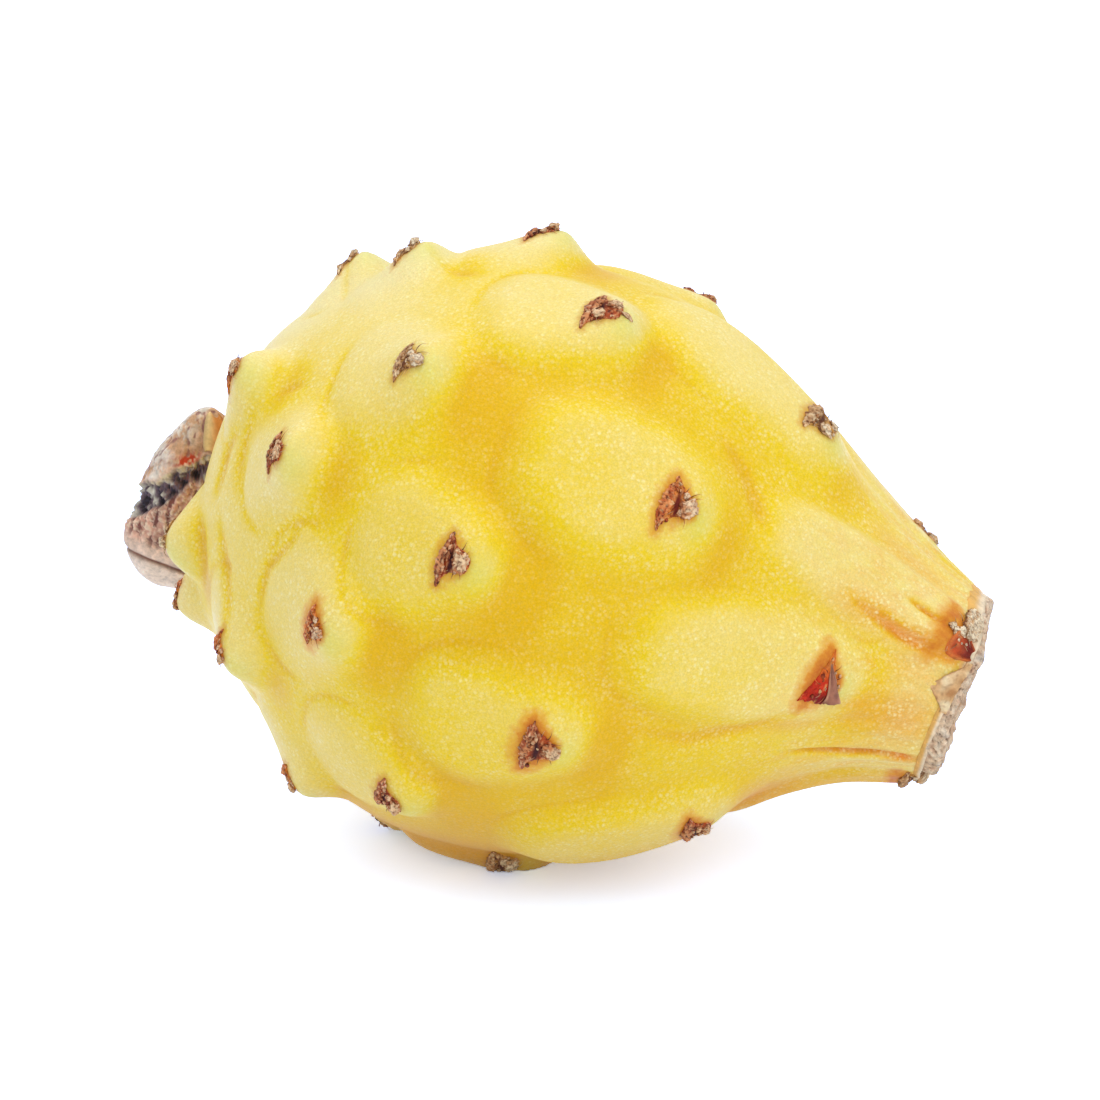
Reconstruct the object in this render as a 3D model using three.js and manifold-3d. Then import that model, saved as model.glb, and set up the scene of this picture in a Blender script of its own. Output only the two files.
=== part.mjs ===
// A whole yellow dragon fruit (pitahaya amarilla) lying on its side as it rests.
// Millimetres, +Z up. The fruit's own axis runs along +X from the stem end to the flower end
// and droops a little toward the flower end. The -Y side is the front.
//
// The flesh and skin are one grown body. What has dried and can be told from it is separate:
// the piece of climbing stem the fruit hung from, the corky ring the flower left, and at the
// tip of each tubercle an areole, the dry triangular bract with its tuft of wool and corky
// spine stubs. Every dried piece sits 0.3 mm or a little more clear of the skin.
import * as THREE from 'three';
import { mergeVertices } from 'three/addons/utils/BufferGeometryUtils.js';
import Module from 'manifold-3d';

const wasm = await Module();
wasm.setup();

// ---- driving dimensions (millimetres and degrees) ----

// How the fruit lies: the axis point AXIS_MID along the fruit sits at CENTRE, and the axis
// drops by DROOP toward the flower end.
const AXIS_MID = 45;
const CENTRE = { x: 0.83, y: -0.66, z: 35.7 };
const DROOP = 9.3;

// The bare fruit under its tubercles: [distance along the axis, radius].
const OUTLINE = [
  [4.9, 0], [3.9, 4.8], [3.3, 9.1], [4.4, 14], [7.9, 20], [14.2, 25.8], [22.5, 30.9],
  [31.3, 34.3], [40, 35], [49, 34.2], [56.7, 32], [63.9, 28.4], [70.9, 23.5], [77.7, 18.4],
  [84.9, 14.1], [93.1, 10.9],
];
// The hollow the flower left, inside the corky ring.
const NAVEL = [[93.4, 10.2], [92.9, 9.1], [91, 7.7], [89.1, 5.6], [88.3, 2.8], [88.2, 0]];
// The neck bends down and forward by these amounts at the flower end.
const NECK_DOWN = 2.9;
const NECK_FORWARD = 1;
// The flower end is cut across at a slant: each millimetre lower lies this much further back.
// By the last areole, LAST_TURN round from the front, it reaches LAST_BULGE further.
const SLANT = 0.13;
const LAST_BULGE = 1.2;
const LAST_TURN = -46;

// Areoles: the growing spiral turns DIVERGENCE between one and the next, and their distance
// along the skin from the stem end is SPIRAL[0] + SPIRAL[1] n + SPIRAL[2] n^2 + SPIRAL[3] n^3.
// Angles run from the front (-Y) side, positive downward.
const FIRST = -21;
const LAST = 16;
const DIVERGENCE = -137.62;
const START_ANGLE = -18.7;
const SPIRAL = [57.8, 1.96, 0.0589, 0.00384];
// Where the growth strays from the even spiral: areole, millimetres along, degrees round.
const STRAYS = [
  [-21, 7, 27], [-19, 0, -20], [-18, 3, 9], [-16, 4, -1], [-15, 1.5, 12], [-13, 0.1, -0.5],
  [-11, 1.6, -4], [-10, -1, -8], [-8, 0, -2], [-5, -2, -1], [-3, 1.5, -2], [-2, -1, 3], [2, 2.2, 15],
  [3, 0.3, -1], [5, 0.5, -1.5], [6, -3, -4], [10, 1.6, 2], [11, -1, 6], [13, 0, -1],
  [14, 0, 18], [15, 2.6, 2], [16, -5.6, 12],
];
// Areoles whose tubercle is leant on: the areole itself is pushed round to its side.
const PUSHED = { 2: -10, 7: 12, 15: -10 };
// Tubercles fuller or flatter than their neighbours: a share of the usual height.
const FULLER = { '-6': 1.4, '-2': 1.3, 2: 1.6, 14: 0.45 };

// Sizes of a tubercle against its distance along the skin. HEAD is how high its rounded head
// starts, as a share of HEIGHT; PEAK is how far beyond the areole it stands highest.
const AT = [5, 20, 35, 45, 58, 71, 80, 101, 118];
const REACH_BACK = [5, 6.5, 8, 10.5, 13, 17, 20, 27, 26];
const REACH_ON = [4.2, 5, 5.8, 6.4, 7.2, 8.4, 9.4, 10, 4];
const HALF_WIDTH = [4.6, 6.8, 8.8, 9.8, 10, 9.8, 10.6, 8.8, 5.5];
const HEIGHT = [1.5, 1, 0.9, 0.9, 1.4, 2, 2.2, 1.9, 1];
const HEAD = [0.3, 0.35, 0.4, 0.45, 0.55, 0.74, 0.82, 0.85, 0.9];
const KNOB = [2.8, 2.8, 2.6, 2.5, 1.9, 1.1, 0.7, 0.4, 0.3];
const SKIRT = [3.4, 4.4, 5, 5.2, 5, 4.6, 4.2, 3.6, 3];
const PEAK = [0.8, 1.2, 1.8, 2.2, 2.2, 1.6, 1.2, 0.8, 0.6];

// The dried pieces.
const GAP = 0.35;
const AREOLE_WIDTH = 5.6;
const AREOLE_DEPTH = 0.8;
const RING_OUTER = 11;
const RING_INNER = 7.9;
const RING_BASE = 93.8;
const STUB_LENGTH = 22.5;

const rad = THREE.MathUtils.degToRad;

// ---- small helpers ----

function clamp01(x) {
  return Math.min(1, Math.max(0, x));
}

function smooth(a, b, x) {
  const t = clamp01((x - a) / (b - a));
  return t * t * (3 - 2 * t);
}

// Straight-line interpolation in a list of values ys at places xs.
function ramp(x, xs, ys) {
  if (x <= xs[0]) return ys[0];
  for (let i = 1; i < xs.length; i += 1) {
    if (x <= xs[i]) {
      return ys[i - 1] + (ys[i] - ys[i - 1]) * (x - xs[i - 1]) / (xs[i] - xs[i - 1]);
    }
  }
  return ys[ys.length - 1];
}

// A repeatable number in 0..1 for the k-th trait of areole n.
function chance(n, k) {
  const v = Math.sin(n * 127.1 + k * 311.7 + 17.3) * 43758.5453;
  return v - Math.floor(v);
}

// A closed geometry with shared vertices merged, no collapsed triangles, faces outward.
function closed(geometry) {
  geometry.deleteAttribute('normal');
  geometry.deleteAttribute('uv');
  const merged = mergeVertices(geometry, 1e-4);
  const p = merged.attributes.position;
  const old = merged.index.array;
  const kept = [];
  let volume = 0;
  for (let i = 0; i < old.length; i += 3) {
    const [a, b, c] = [old[i], old[i + 1], old[i + 2]];
    if (a !== b && b !== c && c !== a) {
      kept.push(a, b, c);
      const va = new THREE.Vector3().fromBufferAttribute(p, a);
      const vb = new THREE.Vector3().fromBufferAttribute(p, b);
      const vc = new THREE.Vector3().fromBufferAttribute(p, c);
      volume += va.dot(vb.cross(vc)) / 6;
    }
  }
  if (volume < 0) {
    for (let i = 0; i < kept.length; i += 3) {
      [kept[i + 1], kept[i + 2]] = [kept[i + 2], kept[i + 1]];
    }
  }
  merged.setIndex(kept);
  return merged;
}

function toSolid(geometry) {
  const vertProperties = new Float32Array(geometry.attributes.position.array);
  const triVerts = new Uint32Array(geometry.index.array);
  return new wasm.Manifold(new wasm.Mesh({ numProp: 3, vertProperties, triVerts }));
}

function toGeometry(solid) {
  const mesh = solid.getMesh();
  const geometry = new THREE.BufferGeometry();
  geometry.setAttribute('position', new THREE.BufferAttribute(mesh.vertProperties, 3));
  geometry.setIndex(new THREE.BufferAttribute(mesh.triVerts, 1));
  return geometry;
}

// Moves each vertex of a geometry by a function of its position.
function reshape(geometry, move) {
  const p = geometry.attributes.position;
  const v = new THREE.Vector3();
  for (let i = 0; i < p.count; i += 1) {
    v.fromBufferAttribute(p, i);
    move(v);
    p.setXYZ(i, v.x, v.y, v.z);
  }
  return geometry;
}

// ---- the bare skin ----

// The outline as a curve, walked by its length. Each sample keeps its distance along the skin.
const outlinePoints = [...OUTLINE, ...NAVEL].map(([x, r]) => new THREE.Vector3(x, r, 0));
const outline = new THREE.CatmullRomCurve3(outlinePoints, false, 'centripetal');
const samples = [];
const STEPS = 16 * (outlinePoints.length - 1);
for (let i = 0; i <= STEPS; i += 1) {
  const point = outline.getPoint(i / STEPS);
  const before = samples[i - 1];
  const along = before ? before.along + Math.hypot(point.x - before.x, point.y - before.r) : 0;
  samples.push({ x: point.x, r: Math.max(0, point.y), along });
}
const SKIN_END = samples[16 * (OUTLINE.length - 1)].along;
const WALK_END = samples[STEPS].along;

// Axis distance, radius and slope of the skin at a distance along it.
function skinAt(s) {
  const t = Math.min(WALK_END, Math.max(0, s));
  let i = 1;
  while (i < STEPS && samples[i].along < t) i += 1;
  const a = samples[i - 1];
  const b = samples[i];
  const f = (t - a.along) / (b.along - a.along);
  const c = samples[Math.max(0, i - 5)];
  const d = samples[Math.min(STEPS, i + 4)];
  const length = Math.hypot(d.x - c.x, d.r - c.r);
  return {
    x: a.x + (b.x - a.x) * f,
    r: a.r + (b.r - a.r) * f,
    tx: (d.x - c.x) / length,
    tr: (d.r - c.r) / length,
  };
}

// The frame of the skin: point, way toward the flower end, way round, and outward normal.
function frameAt(s, angle) {
  const k = skinAt(s);
  const cos = Math.cos(angle);
  const sin = Math.sin(angle);
  return {
    point: new THREE.Vector3(k.x, -k.r * cos, -k.r * sin),
    along: new THREE.Vector3(k.tx, -k.tr * cos, -k.tr * sin),
    round: new THREE.Vector3(0, sin, -cos),
    out: new THREE.Vector3(-k.tr, -k.tx * cos, -k.tx * sin),
    r: k.r,
  };
}

// ---- the areole spiral and its tubercles ----

const areoles = [];
for (let n = FIRST; n <= LAST; n += 1) {
  const stray = STRAYS.find((entry) => entry[0] === n) || [n, 0, 0];
  const s = SPIRAL[0] + SPIRAL[1] * n + SPIRAL[2] * n ** 2 + SPIRAL[3] * n ** 3 + stray[1];
  const angle = rad(START_ANGLE + DIVERGENCE * n + stray[2]);
  areoles.push({
    n,
    s,
    angle,
    frame: frameAt(s, angle),
    back: ramp(s, AT, REACH_BACK) * (0.94 + 0.12 * chance(n, 1)),
    on: ramp(s, AT, REACH_ON),
    half: ramp(s, AT, HALF_WIDTH) * (0.94 + 0.12 * chance(n, 2)),
    height: ramp(s, AT, HEIGHT) * (FULLER[n] || 0.9 + 0.2 * chance(n, 3)),
    knob: ramp(s, AT, KNOB),
    skirt: ramp(s, AT, SKIRT),
    head: ramp(s, AT, HEAD),
    peak: ramp(s, AT, PEAK),
  });
}

// Height of the tubercles over the bare skin at a point of it. Each is a tongue that rises
// from a rounded head on the stem side, and a knob just beyond the areole where it drops off.
function relief(point) {
  const d = new THREE.Vector3();
  let sum = 0;
  for (const a of areoles) {
    d.subVectors(point, a.frame.point);
    if (d.length() < a.back + 8) {
      const u = d.dot(a.frame.along);
      const v = d.dot(a.frame.round);
      const w = d.dot(a.frame.out);
      const near = smooth(-16, -9, w);
      const middle = (a.on - a.back) / 2;
      const half = (a.on + a.back) / 2;
      const wide = a.half * ramp(u, [-a.back, -0.4 * a.back, 0, a.on], [1, 1, 0.85, 0.62]);
      const rho = (Math.abs((u - middle) / half) ** 2.8 + Math.abs(v / wide) ** 2.8) ** (1 / 2.8);
      const climb = clamp01((u + a.back) / (a.back + a.peak));
      const stemSide = 1 - smooth(-0.8 * a.back, -0.1 * a.back, u);
      const edge = 1 - smooth(0.4 + 0.22 * stemSide, 1.12 - 0.06 * stemSide, rho);
      const tongue = a.height * (a.head + (1 - a.head) * climb) * edge;
      const fall = u < a.peak ? a.skirt : 2.7;
      const side = 0.7 * a.skirt + 0.9;
      const knob = a.knob * Math.exp(-(((u - a.peak) / fall) ** 2) - (v / side) ** 2);
      sum += ((tongue + knob) * near) ** 4;
    }
  }
  return sum ** 0.25;
}

// The neck's bend and the slanted flower end.
function bend(v) {
  const t = (v.x - AXIS_MID) / 50;
  const end = smooth(60, 92, v.x);
  const turn = Math.atan2(-v.z, -v.y) - rad(LAST_TURN);
  const bulge = LAST_BULGE * Math.exp((Math.cos(turn) - 1) / 0.14);
  v.x += end * (SLANT * v.z + bulge * smooth(2, 9, Math.hypot(v.y, v.z)));
  v.y -= NECK_FORWARD * t ** 3;
  v.z -= NECK_DOWN * t ** 3 + 0.25 * t ** 2;
  return v;
}

// A point of the finished surface, lifted off it by some millimetres.
function surface(s, angle, lift) {
  const f = frameAt(s, angle);
  const fade = 1 - smooth(SKIN_END - 2.5, SKIN_END + 1, s);
  return bend(f.point.addScaledVector(f.out, relief(f.point) * fade + lift));
}

// The whole skin as a closed body, swollen by lift.
function skinBody(rings, segments, lift) {
  const stops = [];
  for (let j = 0; j <= rings; j += 1) {
    stops.push(new THREE.Vector2(1, j));
  }
  const lathe = new THREE.LatheGeometry(stops, segments);
  const p = lathe.attributes.position;
  for (let i = 0; i <= segments; i += 1) {
    for (let j = 0; j <= rings; j += 1) {
      const s = WALK_END * (j / rings);
      const angle = j === 0 || j === rings ? 0 : (2 * Math.PI * (i % segments)) / segments;
      const v = surface(s, angle, lift);
      p.setXYZ(i * (rings + 1) + j, v.x, v.y, v.z);
    }
  }
  return closed(lathe);
}

// ---- the part ----

const part = new THREE.Group();
const fruit = new THREE.Group();
fruit.rotation.y = rad(DROOP);
fruit.position.set(CENTRE.x, CENTRE.y, CENTRE.z);
const laid = new THREE.Group();
laid.position.x = -AXIS_MID;
fruit.add(laid);
part.add(fruit);
part.updateMatrixWorld(true);

// Everything under the table plane, in the fruit's own frame.
function underTable(height) {
  const block = new THREE.BoxGeometry(200, 200, 40);
  block.translate(0, 0, height - 20);
  block.applyMatrix4(laid.matrixWorld.clone().invert());
  return toSolid(closed(block));
}

function addPiece(name, geometry, color, roughness) {
  const material = new THREE.MeshStandardMaterial({ color, roughness, metalness: 0 });
  const mesh = new THREE.Mesh(geometry, material);
  mesh.name = name;
  laid.add(mesh);
}

// Body: the skin with the flat spots it rests on.
const body = toSolid(skinBody(58, 68, 0)).subtract(underTable(0));
addPiece('fruit_body', toGeometry(body), 0xf0d040, 0.42);

// Stem stub: a short chunk of ribbed stem lying across the stem end, hollowed to sit on it.
const stubProfile = [];
for (let j = 0; j <= 12; j += 1) {
  const t = j / 12;
  const r = j === 0 || j === 12 ? 0 : Math.sin(Math.PI * t) ** 0.45;
  stubProfile.push(new THREE.Vector2(r, t));
}
const stub = reshape(new THREE.LatheGeometry(stubProfile, 22), (v) => {
  const angle = Math.atan2(v.z, v.x);
  const t = v.y;
  const r = Math.hypot(v.x, v.z);
  const rib = 1 + 0.1 * Math.cos(3 * angle + 0.6) + 0.05 * Math.sin(5 * angle + 7 * t);
  const swell = 1.06 - 0.18 * smooth(0.2, 0.55, t) - 0.16 * smooth(0.6, 1, t);
  v.set(
    -1.3 + 6.9 * r * rib * swell * Math.cos(angle) + 2.2 * (t - 0.42),
    6.2 * r * rib * swell * Math.sin(angle),
    STUB_LENGTH * (t - 0.5) - 3.8,
  );
});
const stubBody = toSolid(closed(stub)).subtract(toSolid(skinBody(58, 68, GAP)));
addPiece('stem_stub', toGeometry(stubBody), 0x8a7358, 0.8);

// Corky ring left by the flower tube: a rough collar on the flower end, worn low at the top.
const ringProfile = [
  [RING_OUTER - 0.4, 0], [RING_OUTER, 0.3], [RING_OUTER - 0.3, 1],
  [RING_OUTER - 1, 1.5], [RING_INNER + 0.9, 1.2], [RING_INNER, 0.2],
  [RING_INNER + 0.3, -0.8], [RING_INNER + 1.3, -0.3], [RING_OUTER - 0.4, 0],
].map(([r, x]) => new THREE.Vector2(r, x));
const ring = reshape(new THREE.LatheGeometry(ringProfile, 36), (v) => {
  const angle = Math.atan2(v.z, v.x);
  const top = smooth(0.1, 1, v.y);
  const wave = 0.25 * Math.sin(5 * angle + 1) + 0.2 * Math.sin(9 * angle);
  const r = Math.hypot(v.x, v.z) + wave * top;
  const height = v.y * (0.35 + 0.65 * smooth(-1, 1, Math.sin(angle)));
  v.set(RING_BASE + height + 0.4 * wave * top, -r * Math.cos(angle), -r * Math.sin(angle));
  bend(v);
});
addPiece('flower_ring', closed(ring), 0xc2a078, 0.85);

// Areoles: a dry bract, a triangle with its long side across the stem side, domed up into the
// tuft. The outline radius is the rounded triangle's, the shell follows the skin.
const shell = [[0, 0], [0.95, 0], [1, 0.35], [0.75, 0.75], [0.4, 1], [0, 1.1]];
for (const a of areoles) {
  const size = (AREOLE_WIDTH / 2) * ramp(a.s, [5, 50, 60, 100], [0.64, 0.75, 0.92, 0.94]);
  const push = rad(PUSHED[a.n] || 0);
  const dome = new THREE.LatheGeometry(shell.map(([r, h]) => new THREE.Vector2(r, h)), 10);
  reshape(dome, (v) => {
    const angle = Math.atan2(v.x, v.z);
    let edge = 0;
    for (const [way, far] of [[180, 0.52], [52, 0.66], [-52, 0.66]]) {
      edge += Math.max(0, Math.cos(angle - rad(way)) / far) ** 5;
    }
    const rho = (Math.hypot(v.x, v.z) * size) / edge ** 0.2;
    const room = Math.min(1, (SKIN_END - 0.3 - a.s) / (0.72 * size));
    const s = a.s + rho * Math.cos(angle) * (Math.cos(angle) > 0 ? room : 1);
    const turn = (rho * Math.sin(angle)) / Math.max(3, skinAt(s).r);
    const depth = AREOLE_DEPTH * (0.85 + 0.3 * chance(a.n, 5));
    const lift = ramp(a.s, [12, 22], [2 * GAP, GAP]);
    v.copy(surface(s, a.angle + push + turn, lift + depth * v.y));
  });
  const name = `areole_${String(a.n - FIRST + 1).padStart(2, '0')}`;
  const solid = toSolid(closed(dome)).subtract(underTable(0.1));
  if (solid.numTri() > 0) addPiece(name, toGeometry(solid), 0x8c6a4c, 0.9);
}

export default part;
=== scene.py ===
import math
from functools import partial

import bmesh
import bpy
import numpy as np
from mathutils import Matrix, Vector, noise


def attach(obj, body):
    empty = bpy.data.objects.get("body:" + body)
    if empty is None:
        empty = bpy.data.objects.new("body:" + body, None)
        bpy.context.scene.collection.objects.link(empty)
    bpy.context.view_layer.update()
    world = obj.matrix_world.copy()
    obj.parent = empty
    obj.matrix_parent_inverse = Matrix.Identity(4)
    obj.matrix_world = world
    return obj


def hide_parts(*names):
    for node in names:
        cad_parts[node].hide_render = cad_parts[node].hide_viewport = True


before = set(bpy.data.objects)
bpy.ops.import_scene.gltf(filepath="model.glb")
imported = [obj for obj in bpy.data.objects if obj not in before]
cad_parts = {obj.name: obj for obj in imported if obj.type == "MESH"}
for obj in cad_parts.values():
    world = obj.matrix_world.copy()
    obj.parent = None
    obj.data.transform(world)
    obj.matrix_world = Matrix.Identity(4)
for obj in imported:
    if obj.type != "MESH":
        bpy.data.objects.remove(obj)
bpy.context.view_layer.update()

MM = 0.001

# ---- the fruit's own measures, in millimetres and degrees ----

# The axis runs from the stem end to the flower end. The point of it at AXIS_MID lies at CENTRE,
# and its flower end droops.
AXIS_MID = 45
CENTRE = np.array([0.83, -0.66, 35.7])
DROOP = math.radians(9.3)
# Half the outline of the bare fruit, then of the hollow in the flower scar: along the axis, off it.
OUTLINE = [
    (4.9, 0), (3.9, 4.8), (3.3, 9.1), (4.4, 14), (7.9, 20), (14.2, 25.8), (22.5, 30.9),
    (31.3, 34.3), (40, 35), (49, 34.2), (56.7, 32), (63.9, 28.4), (70.9, 23.5), (77.7, 18.4),
    (84.9, 14.1), (93.1, 10.9),
]
NAVEL = [(93.4, 10.2), (92.9, 9.1), (91, 7.7), (89.1, 5.6), (88.3, 2.8), (88.2, 0)]
# How far the neck bends down and forward, and the axis sags, 50 mm from AXIS_MID.
NECK_DOWN = 2.9
NECK_FORWARD = 1
SAG = 0.25
# The slant of the flower end, and the bulge in its rim by the last areole.
SLANT = 0.13
LAST_BULGE = 1.2
LAST_TURN = math.radians(-46)
SCAR_RADIUS = 11
# Nothing is nearer to the table than this.
TABLE_GAP = 0.02

# Areoles are numbered along the growing spiral. Number 0 is near the middle of the near side.
FIRST = -21
REDDEST = 13
LAST = 16
DIVERGENCE = -137.62
START_ANGLE = -18.7
# The distance of areole n along the skin, in powers of n, and how single ones stray from it:
# millimetres along and degrees round.
SPIRAL = (57.8, 1.96, 0.0589, 0.00384)
STRAYS = {
    -21: (7, 27), -19: (0, -20), -18: (3, 9), -16: (4, -1), -15: (1.5, 12), -13: (0.1, -0.5),
    -11: (1.6, -4), -10: (-1, -8), -8: (0, -2), -5: (-2, -1), -3: (1.5, -2), -2: (-1, 3), 2: (2.2, 15),
    3: (0.3, -1), 5: (0.5, -1.5), 6: (-3, -4), 10: (1.6, 2), 11: (-1, 6), 13: (0, -1),
    14: (0, 18), 15: (2.6, 2), 16: (-5.6, 12),
}
# Dry tissue pushed round its tubercle, in degrees, or on toward the edge of the scar, in mm.
PUSHED = {2: -10, 7: 12, 15: -10}
SHIFTED = {15: 0.8}
# Tubercles higher or lower than the rest.
FULLER = {-6: 1.4, -2: 1.3, 2: 1.6, 14: 0.45}

# Sizes of a tubercle at distances AT along the skin. Its tongue reaches back toward the stem end
# and on toward the flower end. HEAD is the share of its height that it has at its stem-side rim,
# with a crease before it. The knob under the areole peaks a little past it and falls off over a
# skirt.
AT = [5, 20, 35, 45, 58, 71, 80, 101, 118]
REACH_BACK = [5, 6.5, 8, 10.5, 13, 17, 20, 27, 26]
REACH_ON = [4.2, 5, 5.8, 6.4, 7.2, 8.4, 9.4, 10, 4]
HALF_WIDTH = [4.6, 6.8, 8.8, 9.8, 10, 9.8, 10.6, 8.8, 5.5]
HEIGHT = [1.5, 1, 0.9, 0.9, 1.4, 2, 2.2, 1.9, 1]
HEAD = [0.3, 0.35, 0.4, 0.45, 0.55, 0.74, 0.82, 0.85, 0.9]
KNOB = [2.8, 2.8, 2.6, 2.5, 1.9, 1.1, 0.7, 0.4, 0.3]
SKIRT = [3.4, 4.4, 5, 5.2, 5, 4.6, 4.2, 3.6, 3]
PEAK = [0.8, 1.2, 1.8, 2.2, 2.2, 1.6, 1.2, 0.8, 0.6]
CREASE = [0.1, 0.16, 0.2, 0.2, 0.2, 0.15, 0.12, 0.1, 0]
SIZES = REACH_BACK, REACH_ON, HALF_WIDTH, HEIGHT, HEAD, KNOB, SKIRT, PEAK, CREASE
# How square a tongue's outline is, and how sharply neighbouring tubercles meet.
SQUARENESS = 2.8
BLEND = 4

# Fine folds in the skin: points (mm along, degrees round), then depth and half width in mm.
FOLDS = [
    ([(37.4, -18), (36.8, -13), (35, -8), (33.4, -4), (32.9, 4), (33.2, 12)], 0.4, 0.7),
    ([(26, -60), (26.7, -54), (26.7, -49)], 0.25, 0.6),
    ([(24.9, -43), (24.2, -34), (24.4, -26), (25.5, -16)], 0.35, 0.9),
    ([(22.6, -38), (20.4, -30), (20.6, -21), (20.3, -11)], 0.45, 1.1),
    ([(21.9, -10), (24.2, -2), (25.7, 4), (28.8, 14), (31.6, 21)], 0.4, 1),
    ([(16.5, -2), (18.5, 5), (19.8, 14), (20.3, 26)], 0.5, 1.1),
    ([(82, -62), (85.9, -57), (88.5, -50), (90.2, -45)], 0.35, 0.8),
    ([(101, -39), (105, -37.5), (108.5, -35.5), (112, -35), (116, -36)], 0.9, 0.75),
    ([(107.5, -51), (109.5, -50), (111.4, -49), (113.6, -50)], 0.6, 0.4),
    ([(81.3, 10), (87.4, 14), (94.4, 12), (101.1, 4)], 0.3, 0.9),
    ([(101, 28), (105, 30.5), (108.8, 33.5), (113, 33), (116.8, 34)], 1.1, 0.45),
    ([(30, 40), (34, 52), (36, 64), (34, 78)], 0.35, 0.9),
    ([(24, 84), (27, 100), (26, 116), (22, 126)], 0.4, 1),
    ([(22, 140), (25, 156), (24, 172), (27, 190)], 0.4, 1),
    ([(30, 205), (27, 222), (29, 238), (33, 250)], 0.4, 1),
    ([(88, 96), (95, 92), (103, 98), (110, 96)], 0.35, 0.8),
    ([(86, -120), (94, -126), (103, -122), (111, -118)], 0.35, 0.8),
    ([(84, 168), (93, 172), (103, 166), (112, 170)], 0.35, 0.8),
]

# Where the neck flushes orange: mm along and degrees round, half sizes in mm, strength.
FLUSHED = [
    (104, -38, 5, 2.2, 0.5), (110.5, -35.5, 4, 1.4, 0.8), (115, -36, 2, 1.2, 1), (112, -23, 4, 3, 0.35),
    (107, 0, 7, 1.1, 0.45), (110, 31, 5, 1, 0.5), (115, 34, 2.4, 0.8, 1), (111.5, -49.5, 2.5, 0.8, 0.3),
    (100, 12, 7, 1.5, 0.3), (108, -75, 7, 2.5, 0.35), (106, 100, 6, 2.5, 0.4), (107, 190, 6, 3, 0.4),
    (106, -140, 6, 2.5, 0.4), (97, 62, 9, 6, 0.55), (112.5, 4, 7, 4.2, 0.55),
]


def smooth(a, b, x):
    """A soft step from 0 at a to 1 at b."""
    t = np.clip((np.asarray(x, float) - a) / (b - a), 0, 1)
    return t * t * (3 - 2 * t)


def off_turn(angle, degrees=0):
    """How far angles lie from a number of degrees, the short way round, in radians."""
    return np.angle(np.exp(1j * (angle - math.radians(degrees))))


def chance(n, k):
    """A repeatable number in 0..1 for the k-th trait of areole n."""
    v = math.sin(n * 127.1 + k * 311.7 + 17.3) * 43758.5453
    return v - math.floor(v)


def rounded_line(points, steps):
    """A smooth line through the points, as many steps between each two."""
    p = np.array(points, float)
    p = np.vstack([2 * p[0] - p[1], p, 2 * p[-1] - p[-2]])
    line = []
    for i in range(1, len(p) - 2):
        a, b, c, d = p[i - 1:i + 3]
        t1 = np.linalg.norm(b - a) ** 0.5
        t2 = t1 + np.linalg.norm(c - b) ** 0.5
        t3 = t2 + np.linalg.norm(d - c) ** 0.5
        t = np.linspace(t1, t2, steps, endpoint=False)[:, None]
        ab = (t1 - t) / t1 * a + t / t1 * b
        bc = (t2 - t) / (t2 - t1) * b + (t - t1) / (t2 - t1) * c
        cd = (t3 - t) / (t3 - t2) * c + (t - t2) / (t3 - t2) * d
        abc = (t2 - t) / t2 * ab + t / t2 * bc
        bcd = (t3 - t) / (t3 - t1) * bc + (t - t1) / (t3 - t1) * cd
        line.append((t2 - t) / (t2 - t1) * abc + (t - t1) / (t2 - t1) * bcd)
    line.append(p[-2:-1])
    return np.vstack(line)


# The walk over the bare skin, from the stem end round the scar's edge to the bottom of its hollow,
# with the distance walked at each point.
STEPS = 16
WALK = rounded_line(OUTLINE + NAVEL, STEPS)
WALK[:, 1] = np.maximum(WALK[:, 1], 0)
ALONG = np.concatenate([[0], np.cumsum(np.hypot(*np.diff(WALK, axis=0).T))])
SKIN_END = ALONG[STEPS * (len(OUTLINE) - 1)]
WALK_END = ALONG[-1]


def skin_frame(s, angle):
    """The bare skin at a distance along it and an angle round it: point, way toward the flower
    end, way round and outward normal, one row each."""
    s = np.clip(np.asarray(s, float), 0, WALK_END)
    i = np.clip(np.searchsorted(ALONG, s), 1, len(ALONG) - 1)
    f = (s - ALONG[i - 1]) / (ALONG[i] - ALONG[i - 1])
    x = WALK[i - 1, 0] + (WALK[i, 0] - WALK[i - 1, 0]) * f
    r = WALK[i - 1, 1] + (WALK[i, 1] - WALK[i - 1, 1]) * f
    way = WALK[np.minimum(len(ALONG) - 1, i + 4)] - WALK[np.maximum(0, i - 5)]
    way /= np.linalg.norm(way, axis=1)[:, None]
    tx, tr = way.T
    cos, sin = np.cos(angle), np.sin(angle)
    point = np.column_stack([x, -r * cos, -r * sin])
    along = np.column_stack([tx, -tr * cos, -tr * sin])
    around = np.column_stack([0 * sin, sin, -cos])
    out = np.column_stack([-tr, -tx * cos, -tx * sin])
    return point, along, around, out, r


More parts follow.
